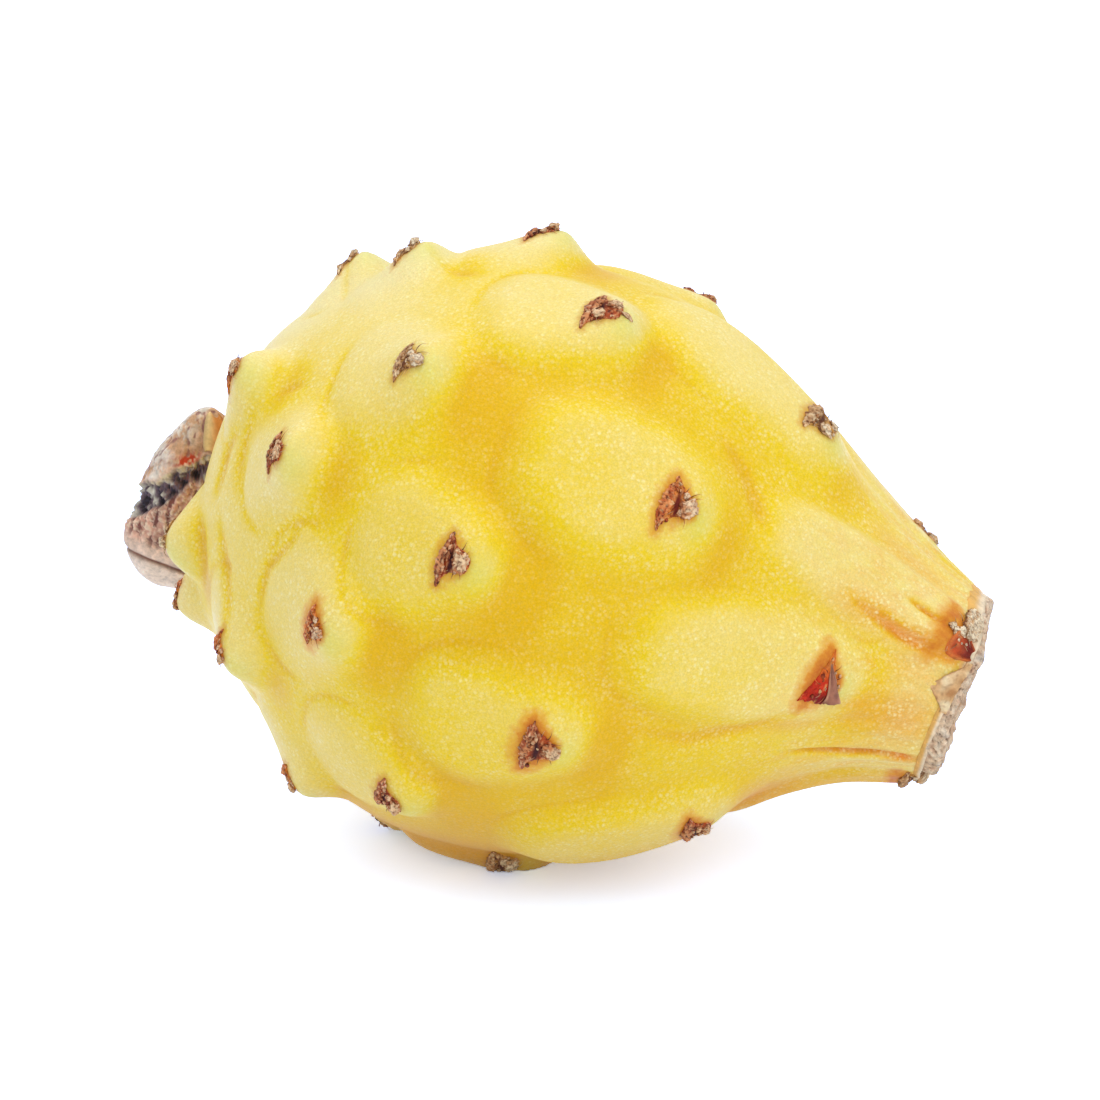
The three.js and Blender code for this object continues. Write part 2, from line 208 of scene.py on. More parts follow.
class Areole:
    """One turn of the growing spiral, with the sizes of its tubercle."""

    def __init__(self, n):
        stray = STRAYS.get(n, (0, 0))
        self.n = n
        self.s = sum(share * n ** k for k, share in enumerate(SPIRAL)) + stray[0]
        self.angle = math.radians(START_ANGLE + DIVERGENCE * n + stray[1])
        point, along, around, out, r = skin_frame([self.s], np.array([self.angle]))
        self.point, self.along, self.around, self.out = point[0], along[0], around[0], out[0]
        self.back, self.on, self.half, self.height, self.head, self.knob, self.skirt, self.peak, \
            self.crease = (np.interp(self.s, AT, row) for row in SIZES)
        self.back *= 0.94 + 0.12 * chance(n, 1)
        self.half *= 0.94 + 0.12 * chance(n, 2)
        self.height *= FULLER.get(n, 0.9 + 0.2 * chance(n, 3))
        self.node = "areole_%02d" % (n - FIRST + 1)
        self.turn = self.angle + math.radians(PUSHED.get(n, 0))
        self.radius = r[0]
        # the dry tissue is smaller near the stem end
        self.size = np.interp(self.s, [5, 50, 60, 100], [0.64, 0.75, 0.92, 0.94])
        self.shift = SHIFTED.get(n, 0)


AREOLES = [Areole(n) for n in range(FIRST, LAST + 1)]


def relief(points):
    """Height of the tubercles over the bare skin, how high on a tubercle each point is, and how
    deep in the crease round a tubercle's head."""
    total = np.zeros(len(points))
    crease = np.zeros(len(points))
    crown = np.zeros(len(points))
    for a in AREOLES:
        d = points - a.point
        hit = (d ** 2).sum(axis=1) < (a.back + 8) ** 2
        d = d[hit]
        u, v, w = d @ a.along, d @ a.around, d @ a.out
        near = smooth(-16, -9, w)
        middle, half = (a.on - a.back) / 2, (a.on + a.back) / 2
        wide = a.half * np.interp(u, [-a.back, -0.4 * a.back, 0, a.on], [1, 1, 0.85, 0.62])
        rho = np.abs((u - middle) / half) ** SQUARENESS + np.abs(v / wide) ** SQUARENESS
        rho **= 1 / SQUARENESS
        climb = np.clip((u + a.back) / (a.back + a.peak), 0, 1)
        stem_side = 1 - smooth(-0.8 * a.back, -0.1 * a.back, u)
        inner, outer = 0.4 + 0.22 * stem_side, 1.12 - 0.06 * stem_side
        step = np.clip((rho - inner) / (outer - inner), 0, 1)
        tongue = (a.head + (1 - a.head) * climb) * (1 - step * step * (3 - 2 * step))
        fall = np.where(u < a.peak, a.skirt, 2.7)
        side = 0.7 * a.skirt + 0.9
        knob = np.exp(-((u - a.peak) / fall) ** 2 - (v / side) ** 2)
        total[hit] += ((a.height * tongue + a.knob * knob) * near) ** BLEND
        crown[hit] = np.maximum(crown[hit], np.maximum(tongue, 0.8 * knob) * near)
        head = 1 - smooth(-0.62 * a.back, -0.25 * a.back, u)
        rim = np.exp(-((rho - 1.02) * half / 0.45) ** 2) * smooth(-0.8, 0.5, np.sin(v / 3 + a.n))
        crease[hit] = np.maximum(crease[hit], a.crease * rim * head * near)
    return total ** (1 / BLEND), crown, crease


def bend(p):
    """The neck's bend and the slanted flower end."""
    t = (p[:, 0] - AXIS_MID) / 50
    end = smooth(60, 92, p[:, 0])
    turn = np.arctan2(-p[:, 2], -p[:, 1]) - LAST_TURN
    bulge = LAST_BULGE * np.exp((np.cos(turn) - 1) / 0.14)
    bulge *= smooth(2, 9, np.hypot(p[:, 1], p[:, 2]))
    return np.column_stack([
        p[:, 0] + end * (SLANT * p[:, 2] + bulge),
        p[:, 1] - NECK_FORWARD * t ** 3,
        p[:, 2] - NECK_DOWN * t ** 3 - SAG * t ** 2,
    ])


def lay_down(p):
    """From the fruit's own axis to how it lies on the table, in metres."""
    x, z = p[:, 0] - AXIS_MID, p[:, 2]
    laid = np.column_stack([
        x * math.cos(DROOP) + z * math.sin(DROOP), p[:, 1], z * math.cos(DROOP) - x * math.sin(DROOP),
    ])
    return (laid + CENTRE) * MM


def fold_depth(s, angle, r):
    """How deep the fine folds cut at each place of the skin, in millimetres."""
    depth = np.zeros(len(s))
    r = np.maximum(r, 3)
    for path, deep, wide in FOLDS:
        parts = len(path) - 1
        for i, ((s0, g0), (s1, g1)) in enumerate(zip(path[:-1], path[1:])):
            away = off_turn(angle, g0) * r
            ds, dv = s1 - s0, math.radians(g1 - g0) * r
            t = np.clip(((s - s0) * ds + away * dv) / (ds ** 2 + dv ** 2), 0, 1)
            gap = np.hypot(s - s0 - t * ds, away - t * dv)
            taper = np.sin(np.pi * np.clip((i + t) / parts, 0.03, 0.97)) ** 0.7
            depth = np.maximum(depth, deep * taper * np.exp(-(gap / wide) ** 2))
    return depth


def skin_lift(s, angle, point, r):
    """How far the finished skin lies over the bare one, with how high on a tubercle each place is
    and how deep in a crease or fold."""
    height, crown, crease = relief(point)
    folds = fold_depth(s, angle, r)
    swell = 0.15 * np.sin(3 * angle + 0.09 * point[:, 0] + 1) * smooth(0, 20, s)
    ridges = 0.16 * np.sin(23 * angle + 0.05 * s) * np.sin(9 * angle + 2) * smooth(92, 110, s)
    fade = 1 - smooth(SKIN_END - 2.5, SKIN_END + 1, s)
    return (height + swell + ridges - crease - folds) * fade, crown, crease + folds


def on_skin(s, angle, lift):
    """Points of the finished skin in metres, lifted off it by some millimetres."""
    point, _, _, out, r = skin_frame(s, angle)
    own, _, _ = skin_lift(np.asarray(s, float), angle, point, r)
    return lay_down(bend(point + out * (own + lift)[:, None]))


# ---- building pieces ----

def hex_colour(text):
    """An sRGB hex value as linear red, green, blue and full alpha."""
    parts = [int(text[i:i + 2], 16) / 255 for i in (1, 3, 5)]
    linear = [c / 12.92 if c <= 0.04045 else ((c + 0.055) / 1.055) ** 2.4 for c in parts]
    return (*linear, 1)


def add_node(tree, kind, inputs=(), **settings):
    """Adds a node, with settings as attributes and inputs as values, hex colours, sockets to link
    or nodes whose first output is linked."""
    made = tree.nodes.new("ShaderNode" + kind)
    for key, value in settings.items():
        setattr(made, key, value)
    for key, value in dict(inputs).items():
        if isinstance(value, bpy.types.Node):
            value = value.outputs[0]
        if isinstance(value, bpy.types.NodeSocket):
            tree.links.new(value, made.inputs[key])
        else:
            made.inputs[key].default_value = hex_colour(value) if isinstance(value, str) else value
    return made


def empty_tree(owner):
    """Clears the nodes of a material or world and gives the way to add its own."""
    owner.use_nodes = True
    owner.node_tree.nodes.clear()
    return partial(add_node, owner.node_tree)


def shape_piece(name, points, faces, material, stands_for, tint=None, marks=None):
    """A smooth mesh piece that belongs to the fruit. Tint is a linear colour a point, marks are
    one number a point for the material to use."""
    mesh = bpy.data.meshes.new(name)
    mesh.from_pydata(points.tolist(), [], [tuple(f) for f in faces])
    mesh.update()
    mesh.polygons.foreach_set("use_smooth", [True] * len(mesh.polygons))
    for key, values in (marks or {}).items():
        layer = mesh.attributes.new(key, "FLOAT", "POINT")
        layer.data.foreach_set("value", np.asarray(values, np.float32))
    if tint is not None:
        layer = mesh.attributes.new("tint", "FLOAT_COLOR", "POINT")
        layer.data.foreach_set("color", np.asarray(tint, np.float32).ravel())
    piece = bpy.data.objects.new(name, mesh)
    bpy.context.scene.collection.objects.link(piece)
    mesh.materials.append(material)
    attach(piece, "root")
    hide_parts(*stands_for)


def ripple(points, scale, seed):
    """Smooth noise in -1..1 at each point, its lumps about 1/scale across."""
    return np.array([noise.noise(Vector(q)) for q in points * scale + seed * 13.7])


def rounds(rows, turns):
    """The turn of each point of a tube, row by row."""
    return np.tile(2 * np.pi * np.arange(turns) / turns, rows)


def tube_faces(rows, turns):
    """Quads of a grid of rows closed round its turns."""
    i, j = np.meshgrid(np.arange(rows - 1), np.arange(turns), indexing="ij")
    a, b, k = i * turns, (i + 1) * turns, (j + 1) % turns
    return np.stack([a + j, a + k, b + k, b + j], axis=-1).reshape(-1, 4).tolist()


def capped_tube(rows, turns):
    """The same tube wound the other way, with its first and its last row each closed to a point
    that comes after the grid."""
    faces = tube_faces(rows, turns)
    first, last, top = rows * turns, rows * turns + 1, (rows - 1) * turns
    for j in range(turns):
        k = (j + 1) % turns
        faces.append((first, k, j))
        faces.append((last, top + j, top + k))
    return [face[::-1] for face in faces]


def sheet(top, under, rows, cols):
    """A thin closed sheet from its upper and under side, both grids of rows by cols."""
    n = rows * cols
    faces = []
    for i in range(rows - 1):
        for j in range(cols - 1):
            a, b = i * cols + j, (i + 1) * cols + j
            faces.append((a, a + 1, b + 1, b))
            faces.append((n + a, n + b, n + b + 1, n + a + 1))
    rim = list(range(cols)) + [i * cols + cols - 1 for i in range(1, rows)]
    rim += [n - 1 - j for j in range(1, cols)] + [i * cols for i in range(rows - 2, 0, -1)]
    for a, b in zip(rim, rim[1:] + rim[:1]):
        faces.append((a, n + a, n + b, b))
    return np.vstack([top, under]), faces


def shares_of(rows, cols):
    """Two shares 0..1 at each point of a grid: down its rows and across its columns."""
    down, across = np.meshgrid(np.linspace(0, 1, rows), np.linspace(0, 1, cols), indexing="ij")
    return down.ravel(), across.ravel()


def mixed(parts, base):
    """Linear colours from a base hex and (hex, weight 0..1 at each point) laid over it."""
    colour = np.tile(np.array(hex_colour(base)), (len(parts[0][1]), 1))
    for text, weight in parts:
        w = np.clip(weight, 0, 1)[:, None]
        colour = colour * (1 - w) + np.array(hex_colour(text)) * w
    return colour


# ---- materials ----

def scale_for(size):
    """The scale of a noise with lumps, or of dots, that are a number of millimetres apart."""
    return 1 / (size * MM)


def ripe_yellow(add, place, mark):
    """Deep yellow, paler on the tubercles (partly its own tone, partly painted highlight), deepened
    as painted shade along creases and folds, uneven in soft patches about 9 mm across.
    """
    patches = add("TexNoise", {"Vector": place, "Scale": scale_for(9.09), "Detail": 3, "Roughness": 0.55})
    uneven = add("Math", {0: patches, 1: 0.4, 2: -0.2}, operation="MULTIPLY_ADD")
    level = add("Math", {0: mark["pale"], 1: uneven}, operation="ADD")
    # painted shade: the yellow is deepened along the creases and folds
    cut = add("Math", {0: mark["crease"], 1: -1.5, 2: level}, operation="MULTIPLY_ADD")
    ramp = add("ValToRGB", {"Fac": cut})
    ramp.color_ramp.elements[0].color = hex_colour("#e8b806")
    ramp.color_ramp.elements[1].color = hex_colour("#f4e4a2")
    ramp.color_ramp.elements.new(0.45).color = hex_colour("#f0d014")
    return ramp


def neck_flush(add, place, mark, yellow):
    """The neck flushes orange, in veins that run along the fruit."""
    stretch = add("Mapping", {"Vector": place, "Scale": (0.12, 1.0, 1.0)})
    veins = add("TexNoise", {"Vector": stretch, "Scale": scale_for(1.923), "Detail": 4, "Roughness": 0.6})
    vein_ramp = add("MapRange", {"Value": veins, "From Min": 0.4, "From Max": 0.68})
    vein = add("Math", {0: vein_ramp, 1: mark["neck"]}, operation="MULTIPLY")
    vein = add("Math", {0: vein, 1: 0.35}, operation="MULTIPLY")
    flush = add("Math", {0: vein, 1: mark["flush"]}, operation="MAXIMUM")
    return add("Mix", {0: flush, 6: yellow, 7: "#e88e38"}, data_type="RGBA").outputs[2]


def oil_dots(add, place, mark):
    """Dots 0.3 mm wide and 0.6 mm apart, each of its own strength and a little ragged, over finer
    blots that stretch into streaks at the neck."""
    jitter = add("TexNoise", {"Vector": place, "Scale": scale_for(0.3846), "Detail": 1})
    ragged = add("VectorMath", {0: jitter.outputs["Color"], 1: (0.32 * MM,) * 3, 2: place},
                 operation="MULTIPLY_ADD")
    layers = []
    for away, apart, far, near, channel, dimmest in (
            ((0, 0, 0), 0.606, 0.5, 0.18, 0, 0.35),
            ((0.0131, 0.0227, 0.0173), 0.4762, 0.44, 0.12, 1, 0)):
        shifted = add("VectorMath", {0: ragged, 1: away}, operation="ADD")
        dots = add("TexVoronoi", {"Vector": shifted, "Scale": scale_for(apart)})
        dot = add("MapRange", {"Value": dots.outputs["Distance"], "From Min": far, "From Max": near})
        own_colour = add("SeparateColor", {"Color": dots.outputs["Color"]})
        own = add("MapRange", {"Value": own_colour.outputs[channel], "To Min": dimmest})
        layers.append(add("Math", {0: dot, 1: own}, operation="MULTIPLY").outputs[0])
    all_dots = add("Math", {0: layers[0], 1: layers[1]}, operation="MAXIMUM")
    blots = add("TexNoise", {"Vector": place, "Scale": scale_for(0.4348), "Detail": 3, "Roughness": 0.7})
    long_place = add("Mapping", {"Vector": place, "Scale": (0.22, 1.0, 1.0)})
    streaks = add("TexNoise", {
        "Vector": long_place, "Scale": scale_for(0.5), "Detail": 3, "Roughness": 0.6})
    blot_or_streak = add("Mix", {0: mark["neck"], 2: blots, 3: streaks})
    blot_level = add("MapRange", {
        "Value": blot_or_streak, "From Min": 0.46, "From Max": 0.76, "To Max": 0.6})
    return add("Math", {0: all_dots, 1: blot_level}, operation="MAXIMUM")


def dotted_yellow(add, place, mark, yellow, specks):
    """The yellow with its pale dots, stronger in some patches and on the tubercles."""
    dot_patch = add("TexNoise", {"Vector": place, "Scale": scale_for(3.846), "Detail": 2})
    dot_level = add("MapRange", {"Value": dot_patch, "From Min": 0.35, "From Max": 0.65, "To Min": 0.45})
    dot_pale = add("MapRange", {"Value": mark["pale"], "To Min": 0.25, "To Max": 1.3})
    dot_part = add("Math", {0: dot_level, 1: dot_pale}, operation="MULTIPLY")
    dot_mix = add("Math", {0: specks, 1: dot_part}, operation="MULTIPLY")
    paler = add("Mix", {0: 0.8, 6: yellow, 7: "#fff4b8"}, data_type="RGBA")
    dotted = add("Mix", {0: dot_mix, 6: yellow, 7: paler.outputs[2]}, data_type="RGBA")
    # a fine grain under the wax, 0.2 mm across
    fleck = add("TexNoise", {"Vector": place, "Scale": scale_for(0.1923), "Detail": 2, "Roughness": 0.6})
    fleck_level = add("MapRange", {
        "Value": fleck, "From Min": 0.25, "From Max": 0.75, "To Min": 0.88, "To Max": 1.09})
    return add("VectorMath", {0: dotted.outputs[2], "Scale": fleck_level}, operation="SCALE").outputs[0]


def areole_stains(add, place, mark, skin):
    """Green by the areoles, stains right round them and cork in the flower scar."""
    ragged_edge = add("TexNoise", {
        "Vector": place, "Scale": scale_for(0.8333), "Detail": 4, "Roughness": 0.65})
    shift = add("Math", {0: ragged_edge, 1: 0.8, 2: -0.4}, operation="MULTIPLY_ADD")
    # a dark halo, an orange stain and the red-brown middle of it
    spread = []
    for near, least, full, most in (
            (mark["halo"], 0.2, 1.1, 0.55), (mark["stain"], 0.1, 0.7, 0.9),
            (mark["stain"], 0.6, 1.1, 0.9)):
        reach = add("Math", {0: shift, 1: near}, operation="ADD")
        spread.append(add("MapRange", {
            "Value": reach, "From Min": least, "From Max": full, "To Max": most}).outputs[0])
    fibre = add("TexNoise", {"Vector": place, "Scale": scale_for(1.111), "Detail": 5, "Roughness": 0.7})
    cork_ramp = add("ValToRGB", {"Fac": fibre})
    cork_ramp.color_ramp.elements[0].position = 0.35
    cork_ramp.color_ramp.elements[0].color = hex_colour("#6f4a2e")
    cork_ramp.color_ramp.elements[1].position = 0.65
    cork_ramp.color_ramp.elements[1].color = hex_colour("#c79d6d")
    for part, colour in (
            (mark["green"], "#cfd860"), (spread[0], "#c79a22"), (spread[1], "#e2942a"),
            (spread[2], "#c04a1c"), (mark["cork"], cork_ramp)):
        skin = add("Mix", {0: part, 6: skin, 7: colour}, data_type="RGBA").outputs[2]
    return skin


def pitahaya_skin():
    """Living fruit skin: waxy and satin. Deep yellow between the tubercles, paler and creamier on them,
    partly its own tone and partly painted highlight, with pale oil dots all over, orange veins at
    the neck and a green tinge by areoles."""
    material = bpy.data.materials.new("pitahaya_skin")
    add = empty_tree(material)
    place = add("TexCoord").outputs["Object"]
    mark = {}
    for key in ("pale", "crease", "neck", "halo", "stain", "green", "cork", "flush"):
        mark[key] = add("Attribute", attribute_name=key).outputs["Fac"]
    yellow = neck_flush(add, place, mark, ripe_yellow(add, place, mark))
    specks = oil_dots(add, place, mark)
    skin = areole_stains(add, place, mark, dotted_yellow(add, place, mark, yellow, specks))
    grain = add("TexNoise", {"Vector": place, "Scale": scale_for(0.625), "Detail": 3, "Roughness": 0.6})
    rough = add("MapRange", {"Value": grain, "To Min": 0.38, "To Max": 0.56})
    height = add("Math", {0: specks, 1: 0.5, 2: grain}, operation="MULTIPLY_ADD")
    bump = add("Bump", {"Height": height, "Strength": 0.35, "Distance": 0.12 * MM})
    shader = add("BsdfPrincipled", {
        "Base Color": skin, "Roughness": rough, "IOR": 1.45, "Specular IOR Level": 0.5,
        "Specular Tint": (1.0, 0.88, 0.38, 1), "Normal": bump,
        "Subsurface Weight": 0.15, "Subsurface Radius": (1.0, 0.5, 0.15), "Subsurface Scale": 3 * MM})
    add("OutputMaterial", {"Surface": shader})
    return material


def dry_tissue(name, grain_size, contrast, bump_depth, roughness, shine=0.0):
    """Dead plant tissue. The tint of each place is broken up by a crumbly grain that is also its bump:
    darker in its pits as painted shade and paler on its ridges as painted highlight. Grain size
    and bump depth are in millimetres."""
    material = bpy.data.materials.new(name)
    add = empty_tree(material)
    place = add("TexCoord").outputs["Object"]
    tint = add("Attribute", attribute_name="tint").outputs["Color"]
    crumbs = add("TexNoise", {
        "Vector": place, "Scale": scale_for(grain_size), "Detail": 6, "Roughness": 0.68,
        "Distortion": 0.5})
    fine = add("TexNoise", {
        "Vector": place, "Scale": 3.2 * scale_for(grain_size), "Detail": 3, "Roughness": 0.6})
    both = add("Math", {0: fine, 1: 0.45, 2: crumbs}, operation="MULTIPLY_ADD")
    # painted shade in the grain's pits, painted highlight on its ridges
    level = add("MapRange", {
        "Value": both, "From Min": 0.5, "From Max": 0.95,
        "To Min": 1 - contrast, "To Max": 1 + 0.7 * contrast})
    shaded = add("VectorMath", {0: tint, "Scale": level}, operation="SCALE")
    bump = add("Bump", {"Height": both, "Strength": 0.8, "Distance": bump_depth * MM})
    shader = add("BsdfPrincipled", {
        "Base Color": shaded, "Roughness": roughness, "Specular IOR Level": 0.25,
        "Coat Weight": shine, "Coat Roughness": 0.35, "Normal": bump})
    add("OutputMaterial", {"Surface": shader})
    return material


SKIN = pitahaya_skin()
BRACT = dry_tissue("dry_bract", 1.1, 0.35, 0.3, 0.62)
TUFT = dry_tissue("areole_wool_and_cork", 0.7, 0.35, 0.25, 0.85)
CORK = dry_tissue("corky_scar", 0.55, 0.4, 0.2, 0.85)
PAPER = dry_tissue("papery_dead_skin", 1.6, 0.25, 0.2, 0.6)
STEM = dry_tissue("dried_climbing_stem", 1.5, 0.4, 0.4, 0.62, 0.15)


# ---- the body ----

# How far the orange stain spreads round an areole, 0 to 1.
STAINED = {5: 0.6, 13: 0.6, -8: 0.5, 8: 0.35, 0: 0.2, 3: 0.1, -5: 0, 10: 0.5, 16: 0.5, 15: 0.5}


def skin_marks(s, angle, point, r, crown, crease):
    """What the skin's finish goes by at each point. Round each areole lie a dark halo and an
    orange stain, with green and a painted highlight on its flower side and, just beyond, painted
    shade in deeper yellow past its knob."""
    by_kind = {key: np.zeros(len(point)) for key in ("halo", "stain", "green", "crest_highlight", "lee_shade")}
    for a in AREOLES:
        d = point - a.point
        u, v, w = d @ a.along, d @ a.around, d @ a.out
        near = smooth(-8, -4, w)
        turned = v - (a.turn - a.angle) * a.radius
        gap = by_line(a, u, turned)
        strong = STAINED.get(a.n, 0.15)
        reach = (0.8 + 2.2 * strong) * (1 - 0.6 * smooth(-1, 2, u))
        for key, strength in (
                ("halo", np.clip(1 - gap / 1.1, 0, 1)),
                ("stain", np.clip(1 - gap / reach, 0, 1) * min(1, 0.3 + strong)),
                ("green", 0.35 * np.exp(-((u - 2.6) / 1.8) ** 2 - ((turned - 1) / 2.4) ** 2)),
                # painted highlight on the knob's flower side, then painted shade as deeper yellow beyond
                # it
                ("crest_highlight", np.exp(-((u - 4.2) / 1.6) ** 2 - (turned / 2.6) ** 2)),
                ("lee_shade", np.exp(-((u - a.peak - 5) / 3) ** 2 - ((v - 1.5) / 5) ** 2))):
            by_kind[key] = np.maximum(by_kind[key], near * strength)
    crest_highlight, lee_shade = by_kind.pop("crest_highlight"), by_kind.pop("lee_shade")
    # painted shade: the underside is painted a deeper, more orange yellow; painted sheen pales the top
    turned_in = np.degrees(off_turn(angle))
    under = smooth(44, 68, turned_in) * (1 - smooth(115, 140, turned_in))
    flush = 0.35 * under
    for s0, g0, long, wide, strength in FLUSHED:
        away = off_turn(angle, g0) * np.maximum(r, 3)
        blush = strength * np.exp(-((s - s0) / long) ** 2 - (away / wide) ** 2)
        flush = np.maximum(flush, blush)
    flush = np.maximum(flush, crease * smooth(98, 108, s))
    ripe = np.interp(s, [0, 25, 42, 60, 85, 115], [0.58, 0.68, 0.54, 0.08, 0.28, 0.72])
    # paler on the tubercles: partly the skin's own tone, partly painted highlight on their tops
    pale = ripe + (1 - ripe) * 0.53 * crown - 0.5 * lee_shade * (1 - 0.4 * crown) + 0.25 * crest_highlight
    # painted sheen: paler over the top of the fruit, less so toward the flower end
    top_sheen = smooth(-40, -85, turned_in) * (1 - smooth(-110, -150, turned_in))
    pale += 0.28 * top_sheen * (1 - 0.8 * smooth(65, 90, s))
    # painted shade on the underside
    pale -= 0.3 * under
    return {
        "pale": np.clip(pale, 0, 1), "crease": np.clip(crease, 0, 1), "flush": flush,
        "neck": smooth(86, 112, s), "cork": smooth(SKIN_END - 0.5, SKIN_END + 0.3, s), **by_kind,
    }


def make_body():
    """The skin all round, from its stem end to the bottom of the scar's hollow."""
    rings, turns = 244, 400
    s = np.linspace(0, WALK_END, rings + 1)[1:-1]
    angle = np.linspace(0, 2 * math.pi, turns, endpoint=False)
    all_s = np.concatenate([np.repeat(s, turns), [0, WALK_END]])
    all_angle = np.concatenate([np.tile(angle, rings - 1), [0, 0]])
    point, _, _, out, r = skin_frame(all_s, all_angle)
    own, crown, crease = skin_lift(all_s, all_angle, point, r)
    scar = smooth(SKIN_END, SKIN_END + 1.5, all_s)
    lift = own + 0.35 * scar * ripple(point, 0.9, 5)
    done = lay_down(bend(point + out * lift[:, None]))
    done[:, 2] = np.maximum(done[:, 2], TABLE_GAP * MM)
    marks = skin_marks(all_s, all_angle, point, r, crown, crease)
    shape_piece("fruit_skin", done, capped_tube(rings - 1, turns), SKIN, ["fruit_body"],
                marks=marks)


# ---- the areoles ----

def by_areole(a, places):
    """Points by an areole from rows of: millimetres toward the flower end, millimetres round
    and millimetres off the skin. The lowest are pressed flat by the table."""
    s = np.clip(a.s + a.shift + places[:, 0], 0, WALK_END)
    turn = a.turn + places[:, 1] / max(3, a.radius)
    done = on_skin(s, turn, places[:, 2])
    done[:, 2] = np.maximum(done[:, 2], TABLE_GAP * MM)
    return done


def dry_sheet(a, u, v, rise, thick, rows, cols):
    """A thin closed sheet by an areole, from a grid of its upper side."""
    sides = [by_areole(a, np.column_stack([u, v, w])) for w in (rise, rise - thick)]
    return sheet(*sides, rows, cols)


BALLS = {}
for level in (1, 3, 4):
    ball = bmesh.new()
    bmesh.ops.create_icosphere(ball, subdivisions=level, radius=1)
    points = np.array([v.co[:] for v in ball.verts])
    BALLS[level] = points, np.array([[v.index for v in f.verts] for f in ball.faces])
    ball.free()

# Colours of the dead tissue of an areole: deep, base, high and pale of the bract, then of the
# membrane between bract and tuft, then deep, base and high of the tuft. Deep also paints shade on
# undersides and along the bract, high paints light on upper sides.
BROWN = ("#420f08", "#a5512f", "#dd9462", "#f4caa0", "#b04a1c", "#661c0e", "#cc8456", "#f9d8ae")
ORANGE = ("#6e1c0a", "#cc6230", "#f09a5c", "#f8cc96", "#e08424", "#6a1e0e", "#d8925f", "#fcdeb8")
BEIGE = ("#6b3a1e", "#bd8656", "#e4b888", "#f6dfb6", "#c8903e", "#80492a", "#dbb082", "#fcecce")
KINDS = {0: BROWN, 8: ORANGE, 3: BROWN, 5: BROWN, 13: ORANGE, -5: BEIGE, -13: BROWN, -8: ORANGE,
         11: BEIGE, 10: BROWN, -3: BROWN, -10: BEIGE, -2: BROWN, 15: BEIGE, 16: BEIGE, -15: BEIGE}
# Tufts that differ from the usual one: (mm toward the flower end, mm round, mm off the skin,
# then the three half sizes) for each lump.
TUFTS = {
    3: [(0.9, -0.7, 0.3, 0.95, 0.7, 0.5), (-0.5, 1.2, 0.3, 0.75, 0.6, 0.45),
        (2.3, 0.1, 0.12, 0.8, 0.45, 0.25)],
    5: [(1, 0.2, 0.4, 1.05, 0.9, 0.75)],
    -5: [(1.1, 0.3, 0.4, 1.15, 0.9, 0.65), (0.1, -0.7, 0.25, 0.5, 0.5, 0.35)],
    11: [(0.6, 1.2, 0.3, 0.9, 0.8, 0.5), (1, -0.6, 0.3, 0.8, 0.7, 0.45)],
    13: [(1.2, 1.9, 0.15, 0.45, 0.35, 0.3)],
    16: [(-0.9, -0.2, 0.2, 0.5, 0.45, 0.4), (-0.3, 0.3, 0.2, 0.45, 0.45, 0.35),
         (0.3, -0.2, 0.3, 0.6, 0.55, 0.5), (1, 0, 0.35, 0.6, 0.5, 0.5), (1.5, -0.6, 0.4, 0.7, 0.6, 0.6),
         (0.8, -1.2, 0.4, 0.6, 0.7, 0.55), (1.7, -1.6, 0.5, 0.8, 0.7, 0.6),
         (1, -2.2, 0.4, 0.65, 0.8, 0.55), (2, -2.5, 0.45, 0.7, 0.8, 0.6), (1.1, -3.1, 0.3, 0.6, 0.7, 0.5),
         (2.4, -1, 0.3, 0.5, 0.7, 0.5), (2.5, -3.5, 0.3, 0.6, 1.1, 0.5), (1.6, -3.9, 0.2, 0.5, 0.9, 0.4)],
}
# The reddest areole is a plain triangle of bare red membrane.
RED_TRIANGLE = [(-0.1, -3.6), (-0.9, -1.4), (-1.8, 0.6), (-2.9, 2.6), (-1, 2.5), (1, 2.8),
                (1.2, 0.6), (0.5, -1.6)]


def kind_of(a):
    return KINDS.get(a.n) or (BROWN, ORANGE, BEIGE)[int(3 * chance(a.n, 8))]


def bract_line(a, t):
    """The bract's middle line from its upper tip at 0 to its lower tip at 1."""
    lean = 0.5 * (chance(a.n, 11) - 0.5)
    u = -0.75 + lean - (0.95 + lean) * t - 0.3 * np.sin(np.pi * t)
    v = -3.5 + 0.5 * chance(a.n, 12) + 6.8 * t
    return u * a.size, v * a.size


def by_line(a, u, v):
    """How far places are from an areole's bract and tuft, in millimetres: 0 on their edge."""
    t = np.clip((v / a.size + 3.3) / 6.6, 0, 1)
    along, across = bract_line(a, t)
    bract = np.hypot(u - along, v - across) - 0.55 * a.size * np.sin(np.pi * t) ** 0.6
    tuft = np.hypot(u - 0.8 * a.size, (v - 0.15) * 0.85) - 1.05 * a.size
    fan = np.hypot(u + 0.2, v * 0.6) - 1.1 * a.size
    return np.minimum(np.minimum(bract, tuft), fan)


